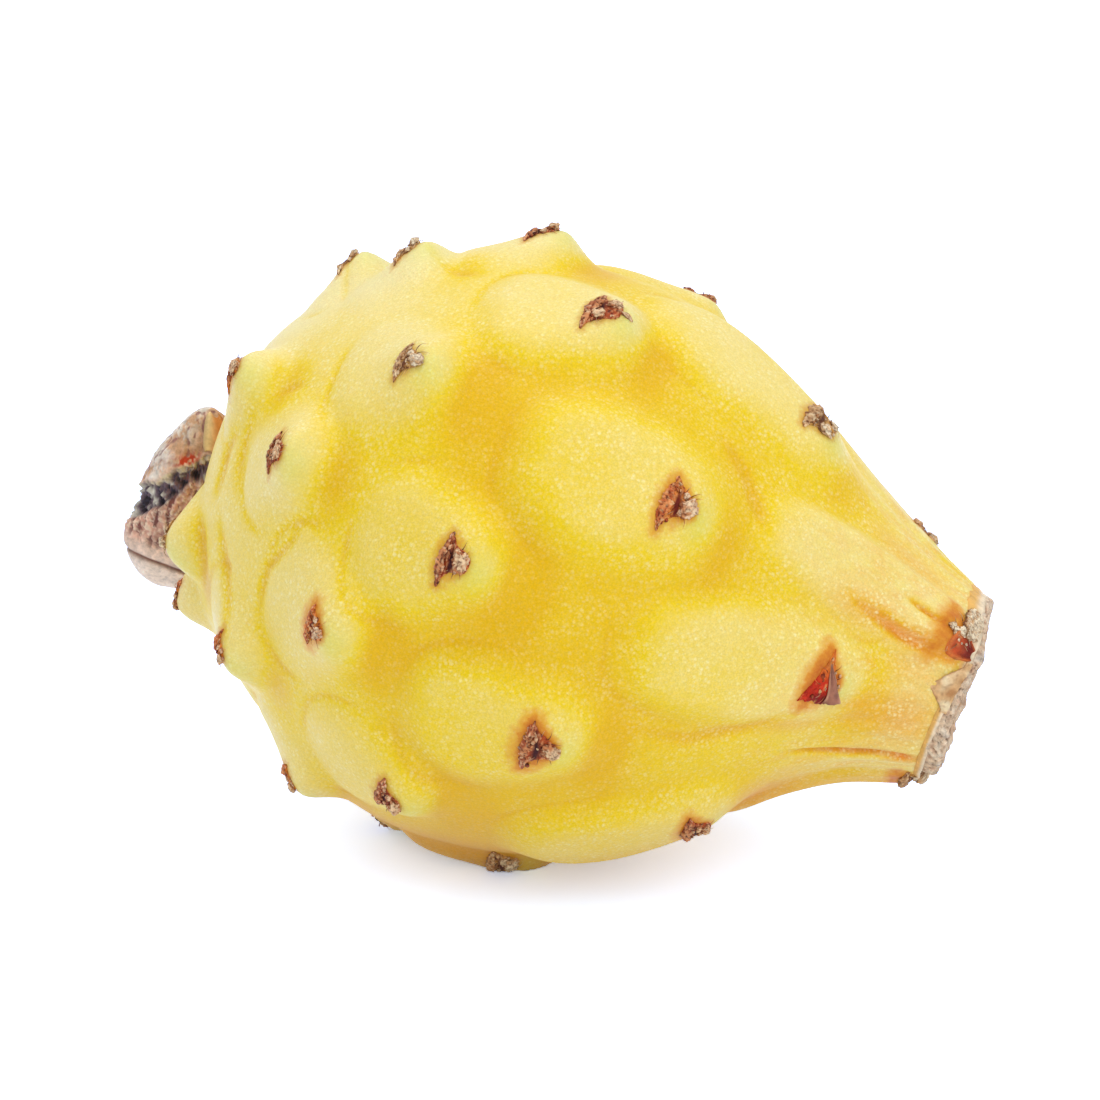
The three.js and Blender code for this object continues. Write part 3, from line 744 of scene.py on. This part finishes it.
def crumbly_ball(a, k, level, centre, size, colours):
    """One lump of dead tissue, cracked into plates: points off the skin, faces and tints."""
    ball, faces = BALLS[level]
    deep, base, high = colours
    seed = 7 * a.n + k
    coarse, fine = ripple(ball, 1.3, seed), ripple(ball, 3.3, seed + 90)
    skewed = ball * np.array([1, 1.9, 1.3])
    plates, streaks = ripple(skewed, 1.5, seed + 20), ripple(skewed, 4.2, seed + 50)
    crack = np.exp(-(plates / 0.07) ** 2)
    swell = 1 + 0.5 * coarse + 0.28 * fine + 0.14 * streaks - 0.25 * crack
    lump = ball * np.array(size) * swell[:, None]
    # painted light: each lump is painted paler on its upper side and darker on its underside
    up = ball[:, 2] * 0.7 + 0.35 * ball[:, 0]
    tint = mixed([
        (high, smooth(-0.2, 0.8, up + 1.2 * plates + 0.6 * streaks)),
        (deep, crack * 0.65), (deep, smooth(0.28, 0.6, -fine - 0.6 * streaks) * 0.7),
        (deep, smooth(0.15, -0.45, up) * 0.9),
    ], base)
    return centre + lump, faces, tint


def joined(parts):
    """Several bodies as one mesh."""
    points, faces, tints, count = [], [], [], 0
    for p, f, tint in parts:
        points.append(p)
        faces += [[i + count for i in face] for face in f]
        tints.append(tint)
        count += len(p)
    return np.vstack(points), faces, np.vstack(tints)


def dry_membrane(a, colours):
    """The thin dead skin that fills the corner between the bract and the tuft."""
    deep, base, high, pale, fan = colours[:5]
    stray = [0.5 * (chance(a.n, k) - 0.5) for k in (13, 14, 17, 18, 19)]
    corners = np.array(RED_TRIANGLE if a.n == REDDEST else [
        (-0.9, -3), (-1.4 + stray[0], -1.6), (-1.6, 0.2 + stray[1]), (-1.6, 2.9),
        (-0.3, 1.7 + stray[2]), (1.6 + stray[3], 1.3), (1.9 + stray[4], -0.6), (0.1, -1.7),
    ]) * a.size
    outline = []
    for p, q in zip(corners, np.roll(corners, -1, axis=0)):
        outline += [p + (q - p) * k / 11 for k in range(11)]
    outline = np.array(outline)
    turns = len(outline)
    flat = np.column_stack([outline, 0 * outline[:, :1]])
    ragged = ripple(flat, 1.4, a.n + 30) + 0.6 * ripple(flat, 3.5, a.n + 31)
    middle = np.array([-0.3, 0.1])
    rows = []
    shares = (0.08, 0.2, 0.32, 0.44, 0.55, 0.66, 0.76, 0.86, 0.94, 1, 0.97, 0.85)
    sinks = [0] * 9 + [0.06, 0.3, 0.8]
    for share, sink in zip(shares, sinks):
        spread = middle + (outline - middle) * share * (1 + 0.11 * ragged[:, None] * share)
        rows.append(np.column_stack([spread, np.full(turns, 0.2 - sink)]))
    grid = np.vstack(rows + [np.array([[*middle, 0.2], [*middle, -0.6]])])
    u, v = grid[:, 0] / a.size, grid[:, 1] / a.size
    strands = ripple(grid * np.array([3.4, 1, 1]), 1.3, a.n)
    coarse, fine = ripple(grid, 1.3, a.n + 5), ripple(grid, 4.5, a.n + 50)
    above = smooth(-0.3, 0.1, grid[:, 2])
    grid[:, 2] += above * (0.09 * strands + 0.08 * coarse + 0.1 * fine)
    # painted shade: a dark band where the membrane meets the bract's lath
    crevice_shade = np.exp(-((u + 0.35 + 0.15 * coarse) / 0.36) ** 2 - ((v - 0.4) / 1.7) ** 2)
    tint = mixed([
        (high, smooth(0, 0.5, strands + 0.6 * fine)), (base, smooth(0.1, 0.6, -strands)),
        (pale, smooth(0.35, 0.7, fine) * 0.6), (deep, smooth(0.2, 0.6, -fine - 0.4 * strands)),
        (deep, crevice_shade * 1.3),
    ], fan)
    return grid, capped_tube(len(shares), turns), tint


def dry_strip(a, colours):
    """The bract itself: a crumbly lath across the stem side, drawn out to two thin tips."""
    deep, base, high, pale = colours[:4]
    rows, turns = 72, 18
    t = np.repeat((np.arange(rows) + 0.5) / rows, turns)
    turn = rounds(rows, turns)
    u, v = bract_line(a, t)
    line = np.column_stack([u, v, 0 * u])
    bulk = np.sin(np.pi * t) ** 0.7
    wobble, lumps = ripple(line, 0.9, a.n + 61), ripple(line, 2.2, a.n + 62)
    wide = (0.1 + 0.5 * bulk * (1 + 0.5 * lumps)) * a.size
    high_up = (0.1 + 0.45 * bulk * (1 + 0.7 * lumps)) * a.size
    place = np.column_stack([
        u + 0.14 * wobble + wide * np.cos(turn), v, 0.1 + high_up * np.sin(turn)])
    coarse = ripple(place * np.array([1.6, 0.8, 1.6]), 1.9, a.n + 63)
    fine = ripple(place * np.array([1.3, 0.8, 1.3]), 4.4, a.n + 64)
    plates = ripple(place * np.array([1.8, 0.7, 1.8]), 1.3, a.n + 66)
    crack = np.exp(-(plates / 0.07) ** 2)
    rough = (0.45 * coarse + 0.25 * fine - 0.25 * crack) * (0.2 + 0.6 * bulk) * a.size
    place[:, 0] += rough * np.cos(turn)
    place[:, 2] += rough * np.abs(np.sin(turn))
    ends = [[*[m[0] for m in bract_line(a, np.array([e]))], 0.06] for e in (-0.01, 1.01)]
    place = np.vstack([place, ends])
    coarse, fine, top, plates, crack = [
        np.append(m, [0, 0]) for m in (coarse, fine, np.sin(turn), plates, crack)]
    # painted light: the lath is painted paler on its upper side and darker on its underside
    tint = mixed([
        (high, smooth(-0.1, 0.7, plates + 0.4 * top + 0.5 * fine)),
        (pale, smooth(0.2, 0.6, fine + 0.5 * coarse) * 0.9), (deep, crack * 0.8),
        (deep, smooth(0.2, 0.6, -fine - 0.5 * coarse)), (deep, smooth(0, -0.6, top) * 0.7),
    ], base)
    return place, capped_tube(rows, turns), tint


def dry_fibres(a, colours):
    """Fine dead hairs and skin fibres that stick out round the areole."""
    rows, turns, parts = 7, 5, []
    for k in range(9):
        way = 2 * np.pi * (k / 9 + 0.08 * chance(a.n, 70 + k))
        reach = 0.7 + 0.8 * chance(a.n, 80 + k)
        u0, v0 = (np.cos(way) + 0.3) * a.size, 1.5 * np.sin(way) * a.size
        t = np.repeat(np.arange(rows) / (rows - 1), turns)
        turn = rounds(rows, turns)
        thick = 0.06 * (1 - 0.8 * t)
        curl = way + (chance(a.n, 90 + k) - 0.5) * 1.6 * t
        place = np.column_stack([
            u0 + reach * t * np.cos(curl) - thick * np.sin(curl) * np.cos(turn),
            v0 + reach * t * np.sin(curl) + thick * np.cos(curl) * np.cos(turn),
            0.15 + 0.5 * np.sin(2.6 * t) * chance(a.n, 75 + k) + thick * np.sin(turn)])
        ends = np.array([[u0, v0, 0.1], place[-turns:].mean(axis=0)])
        tint = mixed([(colours[2 if k % 3 else 3], np.append(t, [0, 1]))], colours[0])
        parts.append((np.vstack([place, ends]), capped_tube(rows, turns), tint))
    return parts


def dry_bract(a):
    """The bract with its membrane and the crumbs that lie in the corner between the two."""
    colours = kind_of(a)
    deep, base, high, pale = colours[:4]
    parts = [dry_membrane(a, colours), dry_strip(a, colours)]
    for k in range(14):
        t = 0.12 + 0.76 * chance(a.n, 100 + k)
        u, v = (m[0] for m in bract_line(a, np.array([t])))
        big = (0.14 + 0.2 * chance(a.n, 120 + k)) * a.size
        centre = (u + (0.9 * chance(a.n, 140 + k) - 0.1) * (0.3 + np.sin(np.pi * t)), v, 0.25)
        pick = (base, high), (high, pale), (deep, base)
        low, top = pick[int(3 * chance(a.n, 160 + k))]
        parts.append(crumbly_ball(a, k, 1, centre, (big, 1.3 * big, big), (deep, low, top)))
    if a.n == REDDEST:
        place, faces, _ = parts[0]
        u, v = place[:, 0], place[:, 1] + 0.5 * ripple(place, 1.5, 77)
        thread = ripple(place * np.array([1, 0.4, 1]), 3.4, 78)
        parts = [(place, faces, mixed([
            ("#cc2c10", smooth(-1.8, 0.4, v)), ("#7c120c", smooth(0.8, 2.2, v) * smooth(-1.8, -0.4, u)),
            ("#f4b46a", smooth(0.3, 0.8, thread) * 0.7), ("#7a160e", smooth(0.3, 0.7, -thread) * 0.6),
        ], "#e07a2c"))] + parts[-5:]
    return joined(parts)


def areole_tuft(a):
    """The pad of felted wool and cork in the middle of an areole, with crumbs and fibres by it."""
    colours = kind_of(a)
    woolly = colours[5:]
    lumps = TUFTS.get(a.n) or [
        (0.9, 0.1, 0.35, 0.85, 0.95, 0.65), (0.2, -0.85, 0.25, 0.45, 0.5, 0.35),
        (0.3, 0.95, 0.2, 0.42, 0.45, 0.35),
    ]
    parts = []
    for k, (u, v, lift, *half) in enumerate(lumps):
        u += 0.3 * (chance(a.n, 30 + k) - 0.5)
        v += 0.4 * (chance(a.n, 40 + k) - 0.5)
        size = np.array(half) * (0.85 + 0.3 * chance(a.n, 50 + k)) * (1 if a.n == LAST else a.size)
        level = 4 if k == 0 or a.n == LAST else 3
        parts.append(crumbly_ball(a, k, level, (u, v, lift), size, woolly))
    for k in range(8):
        way = 2 * np.pi * chance(a.n, 200 + k)
        big = 0.12 + 0.14 * chance(a.n, 210 + k)
        centre = (0.8 + np.cos(way), 1.15 * np.sin(way), 0.12)
        parts.append(crumbly_ball(a, 20 + k, 1, np.array(centre) * a.size, (big, big, big), woolly))
    return joined(parts + dry_fibres(a, colours))


def make_areoles():
    """A bract and a tuft each, but the last has lost its bract."""
    for a in AREOLES:
        for name, make, material in (("bract", dry_bract, BRACT), ("tuft", areole_tuft, TUFT)):
            if name == "bract" and a.n == LAST:
                continue
            points, faces, tint = make(a)
            shape_piece("%s_%s" % (name, a.node[-2:]), by_areole(a, points), faces, material,
                        [a.node], tint)


def make_bract_flap():
    """The reddest bract near the neck has lifted a grey-brown flap on its flower side."""
    a = AREOLES[REDDEST - FIRST]
    long, cols = 16, 10
    p, q = shares_of(long, cols)
    ragged = ripple(np.column_stack([3 * p, 3 * q, 0 * p]), 1.2, 79)
    u = -0.3 + 0.9 * p + q * (0.1 + 1.9 * p) + 0.25 * ragged * p
    v = -1.9 + 4.4 * p - 0.5 * q * p + 0.3 * ragged * smooth(0.7, 1, p)
    rise = 0.3 + 0.6 * p * np.sin(np.pi * (0.1 + 0.6 * q)) + 0.16 * ragged
    points, faces = dry_sheet(a, u, v, rise, 0.14, long, cols)
    edge = smooth(0.35, 0.5, np.abs(np.tile(q, 2) - 0.5))
    tint = mixed([("#d8a888", edge * 0.8), ("#7a4a3a", 0.6 * smooth(0.3, -0.3, np.tile(ragged, 2)))],
                 "#aa7058")
    shape_piece("bract_flap", points, faces, PAPER, [a.node], tint)


def make_last_hollow():
    """The last areole has sunk into a red-brown hollow beside the scar."""
    a = AREOLES[LAST - FIRST]
    long, cols = 26, 30
    p, q = shares_of(long, cols)
    way = 2 * np.pi * q
    far = p * (1 + 0.12 * np.sin(3 * way + 1))
    u = 1.25 + 2.2 * far * np.cos(way)
    v = 1.15 + 1.7 * far * np.sin(way)
    plain = np.column_stack([u, v, 0 * u])
    crumple = ripple(plain, 1.1, 3)
    rise = 0.12 + 0.35 * smooth(0.5, 0.85, p) - 0.6 * smooth(0.85, 1, p) + 0.2 * crumple
    points, faces = dry_sheet(a, u, v, rise, 0.3, long, cols)
    p2, u2 = np.tile(p, 2), np.tile(u, 2)
    tint = mixed([
        ("#d9783a", smooth(0.55, 0.95, p2)), ("#f0a868", smooth(0.2, 0.6, np.tile(crumple, 2)) * 0.6),
        # painted shade: dark red-brown inside the hollow toward the flower end
        ("#7a200e", smooth(0.6, 2.2, u2) * (1 - smooth(0.6, 0.95, p2))),
    ], "#c24e22")
    shape_piece("last_areole_hollow", points, faces, BRACT, [a.node], tint)


# ---- the stub of climbing stem ----

def stub_place(t, turn, lift):
    """Points of the stub: t from its lower end to its upper, turn round it, lift in mm."""
    r = np.sin(np.pi * np.clip(t, 0, 1)) ** 0.45
    rib = 1 + 0.1 * np.cos(3 * turn + 0.6) + 0.05 * np.sin(5 * turn + 7 * t)
    swell = 1.06 - 0.18 * smooth(0.2, 0.55, t) - 0.16 * smooth(0.6, 1, t)
    wide = r * rib * swell
    return np.column_stack([
        -1.3 + (6.9 * wide + lift * r) * np.cos(turn) + 2.2 * (t - 0.42),
        (6.2 * wide + lift * r) * np.sin(turn),
        23.7 * (t - 0.5) - 3.2 + 0 * turn,
    ])


def make_stub():
    """Three parts on one dead chunk: a smooth knuckle below with a fibrous pink band over it, a
    torn dark fibrous middle and a waxy crumpled top."""
    rows, turns = 210, 230
    t = np.repeat(0.5 - 0.5 * np.cos(np.pi * (np.arange(rows) + 0.5) / rows), turns)
    turn = rounds(rows, turns)
    t, turn = np.append(t, [0, 1]), np.append(turn, [0, 0])
    base = stub_place(t, turn, 0)
    fruit_side = np.cos(turn)
    side = np.minimum(fruit_side, 0.2)
    low, high = 0.61 + 0.29 * side, 0.74 + 0.2 * side
    wander = 0.05 * ripple(base, 0.5, 1) + 0.02 * ripple(base, 1.4, 14)
    torn = smooth(low - 0.02, low + 0.02, t + wander)
    torn *= 1 - smooth(high - 0.02, high + 0.02, t + wander)
    knuckle = 1 - smooth(0.26, 0.34, t + 0.8 * wander)
    band = (1 - knuckle) * (1 - smooth(low - 0.01, low + 0.02, t + wander))
    top = smooth(high, high + 0.05, t + wander)
    strand = np.exp(-((t + wander - high + 0.01) / 0.014) ** 2)
    seam = np.exp(-((t - 0.17 + 0.045 * np.sin(turn + 1.2)) / 0.013) ** 2)
    seam *= smooth(-0.45, 0.75, -np.sin(turn))
    long_grain = np.array([1, 1, 0.35])
    fibres, threads = ripple(base * long_grain, 1.6, 2), ripple(base * long_grain, 4.5, 6)
    lumps, crumple = ripple(base, 0.75, 3), ripple(base, 0.35, 4)
    flakes, grit = ripple(base, 2.6, 12), ripple(base, 6, 15)
    lift = (
        torn * (-0.9 + 0.5 * fibres + 0.45 * threads + 0.4 * lumps + 0.35 * flakes)
        + strand * 0.45 - seam * 0.5
        + band * (0.3 * fibres + 0.3 * flakes + 0.12 * grit - 0.1) + knuckle * 0.3 * crumple
        + top * (0.55 * crumple + 0.3 * fibres + 0.15 * flakes + 0.06 * grit)
    )
    done = lay_down(stub_place(t, turn, lift))
    rust_round = off_turn(turn, -92.82)
    rust = np.exp(-((t - 0.765 - 0.06 * rust_round) / 0.035) ** 2 - (rust_round / 0.33) ** 2)
    outer = smooth(-0.2, 0.6, -fruit_side)
    mould = np.exp(-((t - 0.24 + wander) / 0.05) ** 2) * smooth(0.6, 0.97, -fruit_side)
    tint = mixed([
        # painted highlight, partly its own pale colour: the knuckle's lower end near white
        ("#fbeadc", knuckle * smooth(0.3, 0.12, t)),
        ("#d6a28c", band), ("#f4d8be", band * smooth(-0.1, 0.4, flakes + 0.4 * grit)),
        ("#7e4a3e", band * smooth(0.1, 0.45, -fibres - 0.4 * grit)),
        ("#735f66", torn), ("#dcd6c8", torn * smooth(0.02, 0.4, lumps + 0.35 * flakes + 0.3 * threads)),
        ("#8a4e46", torn * smooth(0.1, 0.5, threads) * smooth(-0.6, 0.3, fruit_side)),
        ("#2c2024", torn * smooth(0.1, 0.5, -lumps - 0.5 * threads)),
        ("#dcae88", top), ("#f0e4d6", top * outer * smooth(-0.3, 0.1, crumple + 0.3 * flakes)),
        ("#97625a", top * smooth(0.15, 0.5, -fibres - 0.2 * threads) * 0.85),
        ("#bf3c14", 1.3 * rust * smooth(-0.5, 0.2, flakes + 0.6 * threads)),
        ("#ead9b8", strand * smooth(-0.2, 0.3, fibres)),
        ("#84492c", seam * 0.9),
        ("#84806e", 0.8 * mould * smooth(-0.3, 0.3, flakes + 0.6 * lumps)),
    ], "#f6d6c0")
    shape_piece("stem_chunk", done, capped_tube(rows, turns), STEM, ["stem_stub"], tint)


def make_rind_flap():
    """The smooth tan flap of rind at the top of the stub, on the fruit side."""
    long, cols = 22, 14
    p, q = shares_of(long, cols)
    ts = 0.985 - 0.16 * p + 0.01 * np.sin(7 * q)
    gs = np.radians(-88 + 70 * (0.5 + (q - 0.5) * (1 - 0.6 * p ** 2))) + 0.07 * np.sin(4 * p)
    rise = 0.5 + 0.35 * p ** 2 + 0.25 * np.abs(q - 0.5) * p + 0.12 * np.sin(6 * q + 3 * p)
    upper, under = stub_place(ts, gs, rise + 0.12), stub_place(ts, gs, rise - 0.1)
    points, faces = sheet(upper, under, long, cols)
    edge = smooth(0.3, 0.5, np.abs(np.tile(q, 2) - 0.5))
    tint = mixed([("#f3d79c", smooth(0.6, 0.1, np.tile(q, 2))), ("#8a5a3a", edge * 0.4)], "#d98d46")
    shape_piece("stem_rind_flap", lay_down(points), faces, PAPER, ["stem_stub"], tint)


# ---- the flower scar ----

def scar_place(x, r, turn):
    """Points round the flower end at an axis distance and a radius."""
    return bend(np.column_stack([x, -r * np.cos(turn), -r * np.sin(turn)]))


def round_scar(turn):
    """Places on a circle as wide as the scar, to take noise from."""
    return np.column_stack([np.cos(turn), np.sin(turn), 0 * turn]) * SCAR_RADIUS


def make_ring():
    """The corky ring: porous, pitted and ragged at its rim. It stands half as tall at the top and
    is dented near its lowest place."""
    turns = 380
    section = rounded_line([
        (92.2, 10.3), (92.6, 11), (93.4, 11.15), (94.3, 11.1), (95, 10.9), (95.25, 10.3),
        (95, 9.5), (94.5, 8.7), (93.8, 8), (92.8, 7.8), (91.9, 8.6),
    ], 5)
    rows = len(section)
    turn = rounds(rows, turns)
    x, r = np.repeat(section, turns, axis=0).T
    plain = np.column_stack([x, r * np.cos(turn), r * np.sin(turn)])
    tall = 0.5 + 0.5 * smooth(-1, 0.6, np.sin(turn))
    rim = smooth(93.4, 94.8, x)
    x = np.where(x > 93.4, 93.4 + (x - 93.4) * tall, x)
    circle = round_scar(turn)
    wave, jag = ripple(circle, 0.28, 8), ripple(circle, 0.9, 9)
    pits = np.array([noise.voronoi(Vector(q))[0][0] for q in plain * 2.1])
    pit = 1 - smooth(0.1, 0.38, pits)
    crumbs, grit = ripple(plain, 1.5, 10), ripple(plain, 5, 11)
    grow = 0.2 * wave + 0.15 * jag * rim + 0.12 * crumbs + 0.05 * grit - 0.3 * pit
    x = x + rim * tall * (0.45 * wave + 0.35 * jag + 0.1 * grit - 0.2 * pit)
    r = r - 1.3 * np.exp((np.cos(turn - math.radians(78)) - 1) / 0.09)
    done = lay_down(scar_place(x, r + grow * np.clip((r - 8) / 2, 0.3, 1), turn))
    inside = 1 - smooth(8.3, 9.6, r)
    tint = mixed([
        ("#eddcc6", smooth(-0.1, 0.5, crumbs + 0.5 * wave + 0.3 * grit)),
        ("#b98a70", smooth(0.1, 0.6, -crumbs) * 0.6), ("#85583f", pit * 0.8),
        ("#a87c55", inside), ("#a59a94", smooth(0.35, 0.6, jag) * rim * 0.5),
    ], "#e6cbae")
    faces = tube_faces(rows, turns)
    last = (rows - 1) * turns
    faces += [(last + j, last + (j + 1) % turns, (j + 1) % turns, j) for j in range(turns)]
    shape_piece("cork_band", done, faces, CORK, ["flower_ring"], tint)


def make_lip():
    """The pale dried edge of the skin at the scar."""
    turns = 360
    turn = np.linspace(0, 2 * np.pi, turns + 1)
    circle = round_scar(turn)
    ragged, slow = ripple(circle, 0.8, 21), ripple(circle, 0.25, 22)
    rows = 7
    upper, under, free = [], [], []
    for k in range(rows):
        p = k / (rows - 1)
        wide = 0.6 + 0.2 * slow + 1.3 * smooth(-0.4, -0.9, np.sin(turn)) * (1 + 0.5 * ragged)
        s = SKIN_END - wide + (wide + 0.3 + 0.12 * ragged) * p
        rise = 0.03 + 0.1 * np.sin(np.pi * p) + 0.05 * ragged * p
        point, _, _, out, _ = skin_frame(np.minimum(s, SKIN_END - 0.4), turn)
        top = point + out * (relief(point)[0] * 0.3 + rise)[:, None]
        top[:, 0] += np.maximum(0, s - SKIN_END + 0.4)
        upper.append(top)
        under.append(top - out * (0.12 + 0.3 * (1 - p) ** 4))
        free.append(np.full(turns + 1, p))
    points, faces = sheet(bend(np.vstack(upper)), bend(np.vstack(under)), rows, turns + 1)
    free = np.tile(np.concatenate(free), 2)
    tint = mixed([("#f3e0c2", smooth(0.3, 0.8, free))], "#e9b765")
    shape_piece("dried_skin_edge", lay_down(points), faces, PAPER, ["flower_ring"], tint)


def make_peels():
    """Parchment that has peeled back from the scar's edge: each peel runs to a point on the skin."""
    long, cols = 34, 56
    p, q = shares_of(long, cols)
    for k, (g0, tip, g1, reach) in enumerate(((-38, -18, -6, 3), (143, 158, 178, 2.6))):
        degrees = g0 + (g1 - g0) * q
        side = np.where(degrees < tip, (degrees - g0) / (tip - g0), (g1 - degrees) / (g1 - tip))
        g = np.radians(degrees)
        around = round_scar(g)
        jagged = 0.14 * ripple(around, 0.7, 31 + k) + 0.08 * ripple(around, 2.4, 33 + k)
        length = reach * np.clip(side ** 1.15 + jagged, 0.1, 1.2)
        s = SKIN_END + 0.5 - (length + 0.5) * p
        place = np.column_stack([s, SCAR_RADIUS * g, 0 * g])
        crumple, fine = ripple(place, 0.7, 35 + k), ripple(place, 2.2, 37 + k)
        rise = 0.22 + 0.3 * crumple + 0.12 * fine + 0.3 * np.sin(np.pi * p) * side
        rise = np.maximum(rise, 0.08)
        height = relief(skin_frame(np.minimum(s, SKIN_END), g)[0])[0]
        point, _, _, out, _ = skin_frame(np.minimum(s, SKIN_END - 0.4), g)
        top = point + out * (height * (1 - smooth(SKIN_END - 2.5, SKIN_END + 1, s)) + rise)[:, None]
        top[:, 0] += np.maximum(0, s - SKIN_END + 0.4)
        points, faces = sheet(lay_down(bend(top)), lay_down(bend(top - 0.13 * out)), long, cols)
        p2, crumple, fine = np.tile(p, 2), np.tile(crumple, 2), np.tile(fine, 2)
        tint = mixed([
            ("#f0dcb4", smooth(-0.1, 0.5, crumple)), ("#bb8350", smooth(0.15, 0.6, -crumple) * 0.8),
            ("#a9703c", smooth(0.86, 1, p2) * 0.6), ("#a87a52", smooth(0.1, 0.45, fine) * 0.5),
        ], "#dfb582")
        shape_piece("peeled_skin_%d" % (k + 1), points, faces, PAPER, ["flower_ring"], tint)


make_body()
make_areoles()
make_bract_flap()
make_last_hollow()
make_stub()
make_rind_flap()
make_ring()
make_lip()
make_peels()

# ---- floor, light and camera ----

def studio_floor():
    mesh = bpy.data.meshes.new("studio_floor")
    mesh.from_pydata([(-3, -3, 0), (3, -3, 0), (3, 3, 0), (-3, 3, 0)], [], [(0, 1, 2, 3)])
    floor = bpy.data.objects.new("studio_floor", mesh)
    bpy.context.scene.collection.objects.link(floor)
    material = bpy.data.materials.new("white_paper_floor")
    add = empty_tree(material)
    path = add("LightPath")
    seen = add("Math", {
        0: path.outputs["Is Camera Ray"], 1: path.outputs["Is Glossy Ray"]}, operation="MAXIMUM")
    shown = add("Math", {0: seen, 1: path.outputs["Is Transmission Ray"]}, operation="MAXIMUM")
    paper = add("BsdfDiffuse", {"Color": (0.88, 0.88, 0.88, 1)})
    # as seen it is over-bright and bluish, so that it is white and its shadow stays grey in the
    # yellow light that the fruit throws on it
    lit_paper = add("BsdfDiffuse", {"Color": (1.14, 1.47, 2.28, 1)})
    glow = add("Emission", {"Color": (1, 1, 1, 1), "Strength": 0.28})
    lit = add("AddShader", {0: lit_paper, 1: glow})
    both = add("MixShader", {0: shown, 1: paper, 2: lit})
    add("OutputMaterial", {"Surface": both})
    mesh.materials.append(material)


def studio_world():
    world = bpy.data.worlds.new("white_studio")
    add = empty_tree(world)
    # the room is brightest overhead and behind the fruit, and dimmer on the near side
    way = add("TexCoord").outputs["Generated"]
    uphill = add("VectorMath", {0: way, 1: (-0.35, 0.5, 0.79)}, operation="DOT_PRODUCT")
    room = add("MapRange", {
        "Value": uphill.outputs["Value"], "From Min": -0.6, "From Max": 0.8,
        "To Min": 0.25, "To Max": 0.94})
    path = add("LightPath")
    strength = add("MapRange", {"Value": path.outputs["Is Camera Ray"], "To Min": room, "To Max": 1.0})
    sky = add("Background", {"Color": (1, 1, 1, 1), "Strength": strength})
    add("OutputWorld", {"Surface": sky})
    bpy.context.scene.world = world


def softbox(name, place, aim, size, watts):
    light = bpy.data.lights.new(name, "AREA")
    light.shape = "RECTANGLE"
    light.size, light.size_y = size
    light.energy = watts
    lamp = bpy.data.objects.new(name, light)
    lamp.location = place
    lamp.rotation_euler = (Vector(aim) - Vector(place)).to_track_quat("-Z", "Y").to_euler()
    bpy.context.scene.collection.objects.link(lamp)


def camera():
    """A long lens a little round to the right and above, that takes in 130 mm at the fruit."""
    turn, rise, far = math.radians(14.2), math.radians(20), 0.5
    wide = 0.12987
    back = Vector((math.sin(turn) * math.cos(rise), -math.cos(turn) * math.cos(rise), math.sin(rise)))
    data = bpy.data.cameras.new("camera")
    data.sensor_width = 36
    data.lens = data.sensor_width * far / wide
    data.shift_x, data.shift_y = -0.0097, 0.0121
    view = bpy.data.objects.new("camera", data)
    view.location = Vector(CENTRE * MM) + back * far
    view.rotation_euler = back.to_track_quat("Z", "Y").to_euler()
    bpy.context.scene.collection.objects.link(view)
    bpy.context.scene.camera = view


studio_floor()
studio_world()
softbox("overhead_softbox", (-0.08, 0.1, 0.58), (0, 0, 0.03), (0.5, 0.5), 0.7)
softbox("front_fill", (0.45, -0.5, 0.42), (0, 0, 0.04), (0.6, 0.6), 1.98)
camera()
bpy.context.scene.view_settings.view_transform = "Standard"
